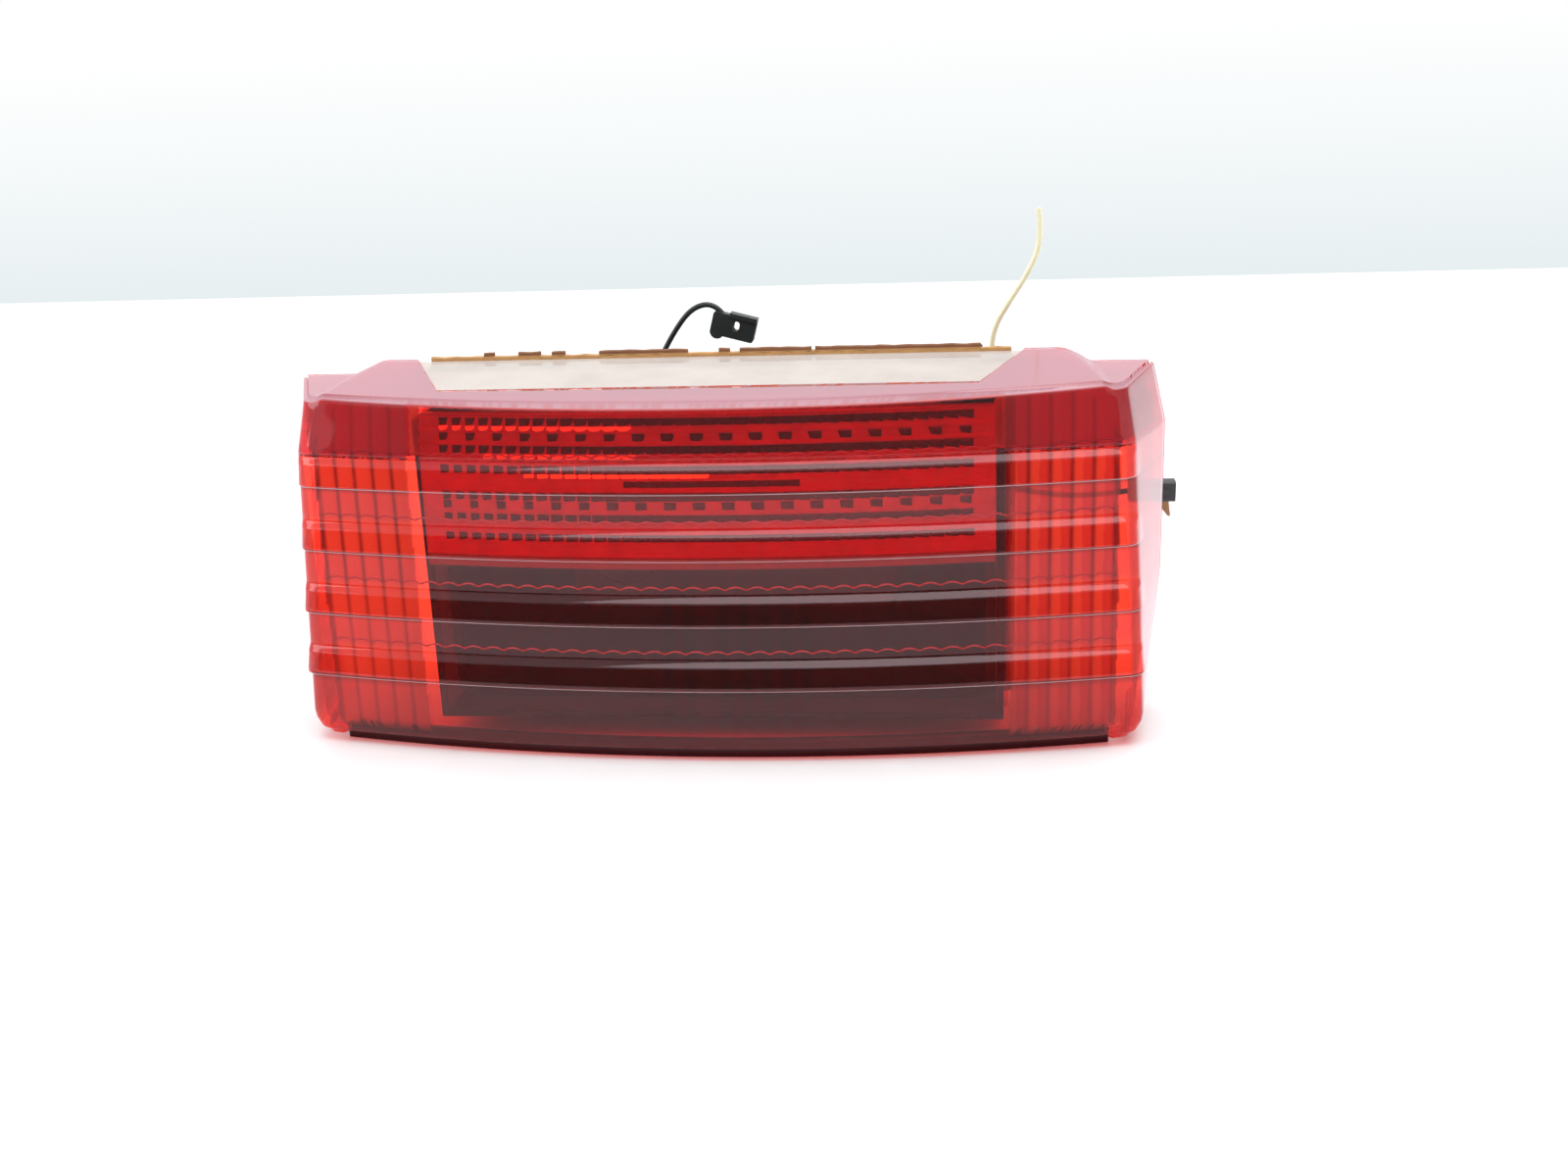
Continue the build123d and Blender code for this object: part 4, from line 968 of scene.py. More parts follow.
    def rib_rows(self, lip: float) -> list[Row]:
        """Levels of one rib, from the hollow under its lip to its upper end.

        Args:
            lip: height of the rib's lower lip.

        Returns:
            The levels, from the lowest up.
        """
        size = self.size
        shoulder = lip + size.rib_height - size.rib_shoulder
        lower = [Row(lip - drop, 0.0, out, shaded=shaded) for drop, out, shaded in size.under_lip]
        edge = lip - size.lip_drop
        lower.append(Row(edge, 0.0, size.rib_out - size.lip_back, shaded=size.lip_shaded))
        # a painted highlight line along the lip
        for turn, wear_and_highlight in size.lip_turns:
            angle = math.radians(turn)
            height = edge + size.lip_radius * (1 - math.cos(angle))
            lower.append(Row(height, 0.0, size.rib_out - size.lip_radius * (1 - math.sin(angle)), wear_and_highlight=wear_and_highlight))
        front = []
        for rise in np.linspace(0.0, size.rib_face_share, size.rib_face_rows):
            height = lip + size.lip_radius + rise * (shoulder - lip - size.lip_radius)
            front.append(Row(height, 0.0, size.rib_out + (size.rib_shoulder_out - size.rib_out) * rise))
        upper = []
        for rise in size.shoulder_rises:
            out = size.rib_shoulder_out * (1 - rise) ** size.shoulder_power
            upper.append(Row(shoulder + rise * size.rib_shoulder, 0.0, out))
        return lower + front + upper + [Row(lip + size.rib_height + size.rib_rest)]

    def outer_rows(self, marks: LensMarks) -> list[Row]:
        """Levels of the outside, from the foot to the rounded upper edge.

        Args:
            marks: how much deeper dye with painted shade and how much painted shade its parts have.

        Returns:
            The levels, from the lowest up.
        """
        size = self.size
        rows = [Row(size.skirt + rise, inset) for rise, inset in size.foot_steps]
        for count in range(size.rib_count):
            lip = size.rib_first + count * size.rib_pitch
            plain = np.linspace(rows[-1].height, lip - size.under_lip[0][0], size.plain_rows)[1:-1]
            # plain rows: a little deeper dye with painted shade
            rows += [Row(height, dye_and_shade=marks.plain_dye_and_shade) for height in plain]
            rows += self.rib_rows(lip)
        rows.append(Row(size.band_foot - size.band_below))
        # band foot: deeper dye with painted shade and a painted shade line
        for drop in (size.band_groove, 0.0):
            rows.append(Row(size.band_foot - drop, dye_and_shade=1.0, shaded=marks.band_foot_shaded))
        rows.append(Row(size.band_foot + size.band_groove / 2, 0.0, size.band_step * 0.8, dye_and_shade=1.0))
        foot = size.band_foot + size.band_rise
        top = size.face_top - size.edge_radius
        for share in np.linspace(0, 1, size.plain_rows):
            height = foot + (top - foot) * share
            rows.append(Row(height, 0.0, size.band_step * (1 - share), dye_and_shade=marks.band_dye_and_shade))
        # a painted highlight line along the upper edge
        for turn, wear_and_highlight in size.edge_turns:
            angle = math.radians(turn)
            height = size.face_top - size.edge_radius * (1 - math.sin(angle))
            inset = size.edge_radius * (1 - math.cos(angle))
            rows.append(Row(height, inset, wear_and_highlight=wear_and_highlight, dye_and_shade=marks.edge_dye_and_shade))
        return rows


class Lens:
    """The red cover: outer skin with rounded ribs, inner skin with its light-spreading flutes, and rims."""

    def __init__(self, size: LensSize, marks: LensMarks) -> None:
        self.size = size
        self.marks = marks
        self.shape = LensShape(size)

    def inner_side(self, rows: list[Row]) -> np.ndarray:
        """Inside of the upright walls, with its flutes, one level for each outer one.

        Args:
            rows: levels of the outside.

        Returns:
            Grid of points.
        """
        size = self.size
        levels = []
        for row in rows:
            height = max(row.height, size.skirt + size.wall)
            top_share = min(max(row.height - size.face_top + size.edge_radius, 0) / size.edge_radius, 1)
            levels.append(self.shape.row(Row(height, size.wall + top_share * HAIR)))
        grid = np.stack(levels)
        x, y, z = grid[..., 0], grid[..., 1], grid[..., 2]
        on_face = np.clip((size.flute_end - np.abs(x)) / (2 * MM), 0, 1) * (y < size.corner + 4 * MM)
        in_band = z < size.skirt + size.wall + 0.5 * MM
        behind_reflex = (np.abs(x) < size.reflex_half + 2 * MM) & (z > size.reflex_foot - 1 * MM)
        cell = np.abs(np.sin(np.pi * x / size.flute_pitch))
        groove = (1 - cell) ** 3 * size.flute_depth
        y -= groove * on_face * (~in_band) * (~behind_reflex)
        return grid

    def outlines(self, inset: float) -> tuple[np.ndarray, np.ndarray]:
        """Plan outlines of a low wall at the skirt, its outer and its inner side."""
        plans = [self.shape.plan(self.size.skirt, depth) for depth in (inset, inset + self.size.wall)]
        return plans[0], plans[1]

    def column(self, rows: list[Row], title: str) -> np.ndarray:
        """One value of every level, as a column."""
        return np.array([getattr(row, title) for row in rows])[:, None]

    def outer_marks(self, rows: list[Row], grid: np.ndarray) -> np.ndarray:
        """Painted highlight lines on the edges, painted reflection veils, and deeper dye with painted shade
        of the outside, for each of its points.

        Args:
            rows: levels of the outside.
            grid: points of the outside.

        Returns:
            Four marks for each point.
        """
        size, marks = self.size, self.marks
        x, y, z = grid[..., 0], grid[..., 1], grid[..., 2]
        on_face = y < size.corner
        before_reflex = on_face & (z > size.reflex_foot) & (np.abs(x) < size.chamber_half)
        in_band = on_face & (z > size.band_foot) & ~before_reflex
        beyond = np.abs(x) > size.chamber_half
        # painted reflection veils, painted highlight lines on edge rows, deeper dye with painted shade and
        # painted shade, weaker in the middle
        painted_reflection = marks.reflex_painted_reflection * before_reflex + marks.band_painted_reflection * in_band
        wear_and_highlight = self.column(rows, "wear_and_highlight") * np.clip((size.corner - y) / (3 * MM), 0, 1) + painted_reflection
        dye_and_shade = self.column(rows, "dye_and_shade") * np.where(beyond, 1.0, marks.middle_dye_and_shade)
        shaded = self.column(rows, "shaded") * np.where(beyond, 1.0, marks.middle_shaded)
        edge = self.column(rows, "height") > size.face_top - size.edge_radius
        frosted = np.where(edge, marks.edge_frosted, 0.0) + 0 * x
        return np.stack([wear_and_highlight, dye_and_shade, frosted, shaded], axis=-1)

    def inner_marks(self, rows: list[Row], grid: np.ndarray) -> np.ndarray:
        """Flutes of the inside as lines of painted shade, deeper dye with painted shade on the band and on
        half of each flute at the right end, its frosted ends, and a painted reflection veil in its middle
        except on the bare columns.

        Args:
            rows: levels of the outside.
            grid: points of the inside.

        Returns:
            Four marks for each point.
        """
        size, marks = self.size, self.marks
        x, y, z = grid[..., 0], grid[..., 1], grid[..., 2]
        on_face = (y < size.corner + 1 * MM) & (np.abs(x) < size.flute_end)
        at_end = on_face & (np.abs(x) > size.chamber_half + size.chamber_rib)
        share = np.abs(x) / size.flute_pitch % 1.0
        away = np.minimum(share, 1 - share) * size.flute_pitch
        last_line = np.clip((np.abs(x) - size.flute_end) / (1 * MM) + 1.5, 0, 1)
        line = np.maximum(np.exp(-(away / marks.line) ** 2), last_line)
        # painted shade on half of each flute at the right end
        half_dark = np.where((x > 0) & (share > 0.5), marks.half_dark, 0.0)
        band = self.column(rows, "dye_and_shade") * np.where(np.abs(x) > size.chamber_half, 1.0, marks.middle_dye_and_shade)
        middle = on_face & ~at_end & (z < size.reflex_foot)
        near_middle = np.abs(x - marks.bright_middle) < marks.bright_half
        # painted reflection veil over the lower middle, left off on the columns
        column = np.where(share > 0.5, 1.0, 0.0) * np.where(near_middle, 1.0, marks.faint_columns)
        lower = np.clip((size.reflex_foot - z) / (20 * MM), 0, 1)
        upright = marks.block_shaded - marks.block_foot_shaded * lower
        dye_and_shade = np.clip(band + at_end * half_dark, 0, 1)
        shaded = at_end * upright * line * np.where(z > size.band_foot, marks.band_share, 1.0)
        wear_and_highlight = middle * marks.middle_painted_reflection * (1 - column)
        in_band = (z > size.band_foot) & (np.abs(x) > size.chamber_half - 3 * MM)
        frosted = np.where(in_band, marks.edge_frosted, at_end * marks.block_frosted)
        return np.stack([wear_and_highlight, dye_and_shade, frosted, shaded], axis=-1)

    def lid(self, side_top: np.ndarray, inset: float) -> np.ndarray:
        """Grid of the upper side, from a wall's top level back to the rear rim.

        Args:
            side_top: top level of the wall.
            inset: how far below the outer skin.

        Returns:
            Grid of points.
        """
        size = self.size
        front_xy = side_top[:, :2]
        middle = len(front_xy) // 2
        edge = abs(front_xy[middle + size.window_columns, 0])
        ratio = size.window_rear / edge
        rear_half = front_xy[-1, 0]
        corner = abs(front_xy[middle + size.window_columns + size.outer_columns, 0])
        x = np.abs(front_xy[:, 0])
        beyond = size.window_rear + (x - edge) * (rear_half - size.window_rear) / (corner - edge)
        spread = np.where(x <= edge, x * ratio, beyond)
        rear_x = np.sign(front_xy[:, 0]) * np.minimum(spread, rear_half)
        split = np.where(front_xy[:, 1] < size.window_y - 1 * MM, size.window_y,
                         front_xy[:, 1] + (size.depth - front_xy[:, 1]) * size.strip_share)
        rows = []
        for share in np.linspace(0, 1, size.strip_rows + 1):
            rows.append(front_xy[:, 1] + (split - front_xy[:, 1]) * share)
        for share in np.linspace(0, 1, size.pane_rows + 1)[1:]:
            rows.append(split + (size.depth - split) * share)
        grid = []
        for number, y in enumerate(rows):
            along = (y - front_xy[:, 1]) / np.maximum(size.depth - front_xy[:, 1], HAIR)
            along_x = front_xy[:, 0] + (rear_x - front_xy[:, 0]) * np.clip(along, 0, 1)
            z = self.shape.top(along_x, y) - inset
            if number == 0:
                along_x, z = front_xy[:, 0], side_top[:, 2]
            grid.append(np.stack([along_x, y, z], axis=1))
        return np.stack(grid)

    def add_wall(self, maker: MeshMaker, outer: np.ndarray, inner: np.ndarray, foot: float,
                 top: float) -> None:
        """A low upright wall between two plan outlines, closed on every side.

        Args:
            maker: what collects the grids.
            outer: its outer outline.
            inner: its inner outline.
            foot: height of its foot.
            top: height of its top.
        """
        loop = [(outer, foot), (outer, top), (inner, top), (inner, foot), (outer, foot)]
        rows = [np.concatenate([plan, np.full((len(plan), 1), height)], axis=1) for plan, height in loop]
        grid = np.stack(rows)
        maker.add_grid(grid)
        for column in (0, -1):
            maker.add_grid(np.stack([grid[0:2, column], grid[3:1:-1, column]]))

    def rim(self) -> bpy.types.Object:
        """The set-back rim that the cover stands on.

        Returns:
            The rim.
        """
        size = self.size
        outer, inner = self.outlines(size.rim_inset)
        low = np.abs(outer[:, 0]) < size.rim_half
        maker = MeshMaker()
        self.add_wall(maker, outer[low], inner[low], 0.0, size.skirt + size.wall / 2)
        maker.shift(self.shape.back)
        return maker.build("lens_rim")

    def scallops(self) -> bpy.types.Object:
        """Thin wavy ridges inside the face, one above each rib.

        Returns:
            The ridges, as one piece.
        """
        size = self.size
        across = np.linspace(-size.flute_end, size.flute_end, size.step_count)
        wave = size.scallop * np.abs(np.sin(np.pi * across / size.flute_pitch))
        maker = MeshMaker()
        for count in range(size.rib_count):
            foot = size.rib_first + count * size.rib_pitch + size.rib_height + size.step_rise
            y = self.shape.face_y(across, foot, size.wall)
            below, above = (0.0, -size.step_half), (0.0, size.step_half)
            profile = [below, (size.step_depth, 0.0), above, below]
            rows = [np.stack([across, y + back, foot + wave + lift], axis=1) for back, lift in profile]
            maker.add_grid(np.stack(rows))
        maker.shift(self.shape.back)
        return maker.build("scallop_ridges")

    def add_tabs(self, maker: MeshMaker) -> None:
        """The short tabs beyond the rim's ends.

        Args:
            maker: what collects the grids.
        """
        size = self.size
        outer, inner = self.outlines(size.tab_inset)
        for side in (-1, 1):
            tab = (side * outer[:, 0] > size.rim_half) & (side * outer[:, 0] < size.tab_half)
            self.add_wall(maker, outer[tab], inner[tab], size.tab_foot, size.skirt + size.wall / 2)

    def add_chamber_ribs(self, maker: MeshMaker) -> None:
        """Two thin upright walls inside the cover, against which the housing's cheeks lie.

        Args:
            maker: what collects the grids.
        """
        size = self.size
        foot = size.skirt + size.wall / 2
        for side in (-1, 1):
            near, away = side * size.chamber_half, side * (size.chamber_half + size.chamber_rib)
            front = size.depth - size.chamber_depth
            plan = np.array([(near, size.depth), (near, front), (away, front), (away, size.depth)])
            ring = [np.array([*point, height]) for height in (foot, size.chamber_top) for point in plan]
            low, high = np.stack(ring[:4]), np.stack(ring[4:])
            loop = np.stack([np.concatenate([low, low[:1]]), np.concatenate([high, high[:1]])])
            maker.add_grid(loop)
            for end in (low, high):
                maker.add_grid(np.stack([end[:2], end[3:1:-1]]))

    def build(self) -> bpy.types.Object:
        """Makes the closed mesh of the cover.

        Returns:
            The cover, its place in its mesh.
        """
        size = self.size
        rows = self.shape.outer_rows(self.marks)
        outer = np.stack([self.shape.row(row) for row in rows])
        inner = self.inner_side(rows)
        outer_lid = self.lid(outer[-1], 0.0)
        inner_lid = self.lid(inner[-1], size.wall)
        columns = outer.shape[1]
        middle = columns // 2
        keep = np.ones((size.strip_rows + size.pane_rows, columns - 1), bool)
        keep[size.strip_rows:, middle - size.window_columns:middle + size.window_columns] = False
        maker = MeshMaker()
        lid_marks = np.broadcast_to(np.array(self.marks.lid), (*outer_lid.shape[:2], 4))
        maker.add_grid(outer, marks=self.outer_marks(rows, outer))
        maker.add_grid(inner, marks=self.inner_marks(rows, inner))
        maker.add_grid(outer_lid, keep, lid_marks)
        maker.add_grid(inner_lid, keep, lid_marks)
        maker.add_grid(np.stack([outer[0], inner[0]]))
        for column in (0, -1):
            maker.add_grid(np.stack([outer[:, column], inner[:, column]]))
        left, right = middle - size.window_columns, middle + size.window_columns
        for part in (slice(0, left + 1), slice(right, columns)):
            maker.add_grid(np.stack([outer_lid[-1, part], inner_lid[-1, part]]))
        for column in (left, right):
            maker.add_grid(np.stack([lid[size.strip_rows:, column] for lid in (outer_lid, inner_lid)]))
        front = slice(left, right + 1)
        maker.add_grid(np.stack([outer_lid[size.strip_rows, front], inner_lid[size.strip_rows, front]]))
        self.add_tabs(maker)
        self.add_chamber_ribs(maker)
        maker.shift(self.shape.back)
        return maker.build("lens")


# ---------------------------------------------------------------------------------------
# Reflex reflector
# ---------------------------------------------------------------------------------------
class ScatterTree(NodeTree):
    """Geometry tree that stands a small cone frustum on every point, scaled by the point's own cell size."""

    def __init__(self, name: str) -> None:
        super().__init__(bpy.data.node_groups.new(name, "GeometryNodeTree"))
        self.inputs: dict[str, str] = {}
        face = self.tree.interface
        face.new_socket("Geometry", in_out="INPUT", socket_type="NodeSocketGeometry")
        kinds = {"Sides": "Int", "Seed": "Int", "Spread": "Float", "Finish": "Material"}
        for title, kind in kinds.items():
            socket = face.new_socket(title, in_out="INPUT", socket_type=f"NodeSocket{kind}")
            self.inputs[title] = socket.identifier
        face.new_socket("Geometry", in_out="OUTPUT", socket_type="NodeSocketGeometry")
        self.fill()

    def turned(self, shape: Socket, rotation: Point) -> Socket:
        """A shape turned about the origin."""
        inputs = {"Geometry": shape, "Rotation": rotation}
        return self.node("GeometryNodeTransform", inputs).outputs["Geometry"]

    def fill(self) -> None:
        """Builds the tree: a square frustum, laid on its side, stands on each point."""
        given = self.node("NodeGroupInput").outputs
        inputs = {"Vertices": given["Sides"], "Radius Top": 0.3, "Radius Bottom": 0.62, "Depth": 1.0}
        cone = self.node("GeometryNodeMeshCone", inputs).outputs["Mesh"]
        square = self.turned(cone, (0.0, 0.0, math.radians(45)))
        laid = self.turned(square, (math.radians(90), 0.0, 0.0))
        size = self.node("GeometryNodeInputNamedAttribute", {"Name": "cell"}, data_type="FLOAT_VECTOR")
        low = self.node("ShaderNodeMath", {0: 1.0, 1: given["Spread"]}, operation="SUBTRACT")
        inputs = {2: low.outputs["Value"], 3: 1.0, "Seed": given["Seed"]}
        chance = self.node("FunctionNodeRandomValue", inputs, data_type="FLOAT")
        inputs = {0: size.outputs["Attribute"], "Scale": chance.outputs[1]}
        scale = self.node("ShaderNodeVectorMath", inputs, operation="SCALE").outputs["Vector"]
        inputs = {"Points": given["Geometry"], "Instance": laid, "Scale": scale}
        stand = self.node("GeometryNodeInstanceOnPoints", inputs).outputs["Instances"]
        real = self.node("GeometryNodeRealizeInstances", {"Geometry": stand}).outputs["Geometry"]
        paint = self.node("GeometryNodeSetMaterial", {"Geometry": real, "Material": given["Finish"]})
        self.node("NodeGroupOutput", {"Geometry": paint.outputs["Geometry"]})


def applied(carrier: bpy.types.Object) -> bpy.types.Object:
    """Turns an object's modifiers into its own plain mesh.

    Args:
        carrier: the object.

    Returns:
        The same object.
    """
    bpy.context.view_layer.update()
    graph = bpy.context.evaluated_depsgraph_get()
    mesh = bpy.data.meshes.new_from_object(carrier.evaluated_get(graph))
    carrier.modifiers.clear()
    carrier.data = mesh
    return carrier


@dataclass(frozen=True)
class CellRow:
    """One row of prism cells."""

    height: float
    tall: float
    kind: Cell = Cell.DARK
    step: int = 1
    start: float = -76.0 * MM
    stop: float = 78.0 * MM


@dataclass(frozen=True)
class ReflexSize:
    """Driving sizes of the reflex panel; its beads are in millimetres."""

    foot: float = 58.0 * MM
    top: float = 102.6 * MM
    half: float = 83.9 * MM
    row_half: float = 79.5 * MM
    front: float = 3.7 * MM
    back: float = 5.0 * MM
    pitch: float = 4.2 * MM
    narrow: float = 0.76
    wide: float = 1.42
    bead: float = 0.4 * MM
    bead_wide: float = 0.45 * MM
    beads: tuple[float, ...] = (98.2, 94.6, 90.3, 84.6, 81.5, 75.0, 71.2, 65.4, 61.8)
    cell_deep: float = 0.45 * MM
    cell_sides: int = 4
    cell_spread: float = 0.08
    seed: int = 7
    row_spacing: float = 0.3 * MM
    columns: int = 90
    flange_rear: float = 7.6 * MM
    flange_thick: float = 0.8 * MM


class ReflexPanel:
    """Bowed red panel in front of the bulbs, with beads and rows of prism cells."""

    def __init__(self, shape: LensShape, size: ReflexSize) -> None:
        self.shape = shape
        self.size = size
        dark = [
            CellRow(100.7 * MM, 2.9 * MM),
            CellRow(96.4 * MM, 2.9 * MM, step=2),
            CellRow(92.9 * MM, 3.0 * MM),
            CellRow(87.2 * MM, 2.9 * MM),
            CellRow(83.2 * MM, 2.4 * MM, start=-20 * MM, stop=30 * MM),
            CellRow(79.4 * MM, 3.0 * MM),
            CellRow(76.7 * MM, 2.9 * MM, step=2),
            CellRow(73.1 * MM, 2.5 * MM),
            CellRow(67.2 * MM, 2.6 * MM),
        ]
        bright = [
            CellRow(98.7 * MM, 2.1 * MM, Cell.BRIGHT, stop=-20 * MM),
            CellRow(91.0 * MM, 1.8 * MM, Cell.BRIGHT, start=-62 * MM, stop=-18 * MM),
            CellRow(85.4 * MM, 1.7 * MM, Cell.BRIGHT, start=-50 * MM, stop=2 * MM),
        ]
        self.rows = dark + bright

    def panel(self) -> bpy.types.Object:
        """The panel itself, a closed bowed plate with a bead between the rows.

        Returns:
            The panel, its place in its mesh.
        """
        size = self.size
        heights = np.arange(size.foot, size.top, size.row_spacing)
        across = np.linspace(-size.half, size.half, size.columns)
        sheets = []
        for inset, beaded in ((size.front, True), (size.back, False)):
            rows = []
            for height in heights:
                y = self.shape.face_y(across, height, inset)
                if beaded:
                    near = np.array([height - bead * MM for bead in size.beads])
                    y = y - size.bead * np.exp(-(near / size.bead_wide) ** 2).sum()
                rows.append(np.stack([across, y, np.full(len(across), height)], axis=1))
            sheets.append(np.stack(rows))
        front, back = sheets
        maker = MeshMaker()
        maker.add_grid(front)
        maker.add_grid(back)
        for edge in (np.s_[0], np.s_[-1], np.s_[:, 0], np.s_[:, -1]):
            maker.add_grid(np.stack([front[edge], back[edge]]))
        turned_back = [front[-1].copy(), front[-1].copy()]
        turned_back[1][:, 1] = size.flange_rear
        under = [edge - np.array([0.0, 0.0, size.flange_thick]) for edge in turned_back]
        maker.add_grid(np.stack([*turned_back, *under[::-1], turned_back[0]]))
        for column in (0, -1):
            end = [[edge[column] for edge in side] for side in (turned_back, under)]
            maker.add_grid(np.stack(end))
        maker.shift(self.shape.back)
        return maker.build("reflex_panel_fine")

    def points(self, kind: Cell) -> bpy.types.Object:
        """Bare points where the cells of one kind stand, each with its width and height.

        Args:
            kind: which cells.

        Returns:
            The points as one object.
        """
        size = self.size
        places, scales = [], []
        for row in self.rows:
            if row.kind is not kind:
                continue
            for x in np.arange(row.start, row.stop, size.pitch * row.step):
                share = min(max((x + size.row_half) / size.row_half, 0), 1)
                wide = size.narrow + (size.wide - size.narrow) * share / row.step
                y = float(self.shape.face_y(np.array(x), row.height, size.front))
                places.append((x, y + self.shape.back, row.height))
                scales.append((size.pitch * wide, size.cell_deep, row.tall))
        mesh = bpy.data.meshes.new(kind.value)
        mesh.from_pydata(places, [], [])
        mesh.attributes.new("cell", "FLOAT_VECTOR", "POINT").data.foreach_set("vector", np.ravel(scales))
        made = bpy.data.objects.new(kind.value, mesh)
        bpy.context.scene.collection.objects.link(made)
        return made

    def cells(self, kind: Cell, material: bpy.types.Material) -> bpy.types.Object:
        """Cells of one kind as a plain mesh.

        Args:
            kind: which cells.
            material: their finish.

        Returns:
            One mesh of all of them.
        """
        carrier = self.points(kind)
        tree = ScatterTree("prism cells")
        modifier = carrier.modifiers.new("cells", "NODES")
        modifier.node_group = tree.tree
        given = {"Sides": self.size.cell_sides, "Seed": self.size.seed, "Spread": self.size.cell_spread,
                 "Finish": material}
        for title, value in given.items():
            modifier[tree.inputs[title]] = value
        return applied(carrier)


# ---------------------------------------------------------------------------------------
# Sealing strip's upper lip
# ---------------------------------------------------------------------------------------
@dataclass(frozen=True)
class SealSize:
    """Driving sizes of the lip that shows above the cover; its pads are in millimetres."""

    half: float = 89.0 * MM
    foot: float = 112.0 * MM
    top: float = 113.8 * MM
    pad_top: float = 114.9 * MM
    front: float = 0.15 * MM
    thick: float = 1.7 * MM
    edge: float = 0.25 * MM
    waves: tuple[Point2, ...] = ((0.08 * MM, 900.0), (0.06 * MM, 2300.0))
    pad_thicker: float = 0.1 * MM
    spacing: float = 2.0 * MM
    pads: tuple[Point2, ...] = ((-72.2, -69.1), (-61.3, -54.5), (-50.8, -46.8), (-36.0, -8.6), (1.0, 4.3),
                                (7.4, 29.2), (30.4, 80.0))


def seal_lip(size: SealSize) -> bpy.types.Object:
    """The strip's squeezed-out lip along the top, with its swollen lengths.

    Args:
        size: its sizes.

    Returns:
        The lip, its place in its mesh.
    """
    maker = MeshMaker()
    front = rear_rim() + size.front
    lengths = [(-size.half, size.half, size.top)]
    lengths += [(left * MM, right * MM, size.pad_top) for left, right in size.pads]
    for left, right, top in lengths:
        count = max(int((right - left) / size.spacing), 3)
        across = np.linspace(left, right, count)
        waver = sum(height * np.sin(across * rate) for height, rate in size.waves)
        deep = size.thick if top == size.top else size.thick + size.pad_thicker
        outline = [(0.0, size.foot), (0.0, top - size.edge), (size.edge, top), (deep - size.edge, top),
                   (deep, top - size.edge), (deep, size.foot), (0.0, size.foot)]
        rows = []
        for y, z in outline:
            lift = waver if z > size.foot else 0 * waver
            rows.append(np.stack([across, np.full(count, front + y), z + lift], axis=1))
        grid = np.stack(rows)
        maker.add_grid(grid)
        for column in (0, -1):
            end = grid[:-1, column]
            maker.add_grid(np.stack([end[:3], end[:2:-1]]))
    return maker.build("seal_lip", smooth=False)


# ---------------------------------------------------------------------------------------
# Leads
# ---------------------------------------------------------------------------------------
@dataclass(frozen=True)
class LeadPlan:
    """A lead: its route in the frame, how it ends and what it carries."""

    name: str
    colour: str
    route: list[Point]
    length: float
    far_end: str
    pieces: tuple[str, ...] = ()
    diameter: float = 1.8 * MM


class Leads:
    """The three short leads that stand up behind the lamp."""

    strip_middle: float = 1.6 * MM

    def __init__(self) -> None:
        self.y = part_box("brake_terminal")[1][1] - self.strip_middle

    def points(self, rows: list[tuple[float, float, float]]) -> list[Point]:
        """Turns X, Y behind the strip's middle and Z, in millimetres, into frame points."""
        return [(x * MM, self.y + back * MM, z * MM) for x, back, z in rows]

    def plans(self) -> list[LeadPlan]:
        """Routes as the solid model has them.

        Returns:
            The three leads.
        """
        black = [(-30, 0, 86), (-30, 0, 95), (-25.3, 0.6, 104.5), (-19.6, 1.0, 114.4), (-13.4, 0.8, 121.8),
                 (-6.2, 0.4, 123.2), (-3.433, 0, 119.815)]
        cream = [(56, 0, 84), (68.6, 0, 84), (80.8, 0, 90), (83.6, 0.3, 102.5), (84.4, 0.5, 113),
                 (89.4, 0.4, 121.5), (95, 0.1, 130), (99.6, 0, 140.2), (98.4, 0.2, 150.5)]
        dark = [(56, 0, 63), (75, 0, 63), (95, -2.5, 59.9), (112, -6.5, 58.3), (128.5, -11, 61.8)]
        return [
            LeadPlan("black_wire", "black", self.points(black), 51.6 * MM, "connector",
                     ("blade_receptacle", "receptacle_contact")),
            LeadPlan("cream_wire", "cream", self.points(cream), 89.8 * MM, "bare"),
            LeadPlan("dark_wire", "dark", self.points(dark), 74.2 * MM, "connector",
                     ("grey_plug", "tan_lock")),
        ]

    def build(self, frame: dict, paints: Paints) -> None:
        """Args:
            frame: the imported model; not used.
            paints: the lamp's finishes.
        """
        for plan in self.plans():
            slot = f"lead_{plan.colour}"
            wire = self.curve(plan)
            wire.data.materials.append(paints[slot])
            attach(wire, "carrier")
            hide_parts(f"{plan.colour}_lead")
            log.info("made %s", wire.name)

    def curve(self, plan: LeadPlan) -> bpy.types.Object:
        """One open smooth spline with the route as its control points.

        Args:
            plan: the lead.

        Returns:
            The lead as a curve.
        """
        data = bpy.data.curves.new(plan.name, "CURVE")
        data.dimensions = "3D"
        data.bevel_depth = plan.diameter / 2
        data.bevel_resolution = 6
        data.resolution_u = 16
        data.use_fill_caps = True
        spline = data.splines.new("NURBS")
        spline.points.add(len(plan.route) - 1)
        for point, place in zip(spline.points, plan.route):
            point.co = (*place, 1.0)
        spline.order_u = 3
        spline.use_endpoint_u = True
        made = bpy.data.objects.new(plan.name, data)
        bpy.context.scene.collection.objects.link(made)
        return made


# ---------------------------------------------------------------------------------------
# Studio
# ---------------------------------------------------------------------------------------
@dataclass(frozen=True)
class CameraPlan:
    """Where the camera stands and how it looks."""

    place: Point = (0.0753, -0.4860, 0.1940)
    pitch: float = math.radians(17.6)
    yaw: float = math.radians(6.7)
    roll: float = math.radians(2.21)
    focal: float = 37.3
    sensor: float = 36.0
    nearest: float = 0.01
    farthest: float = 30.0


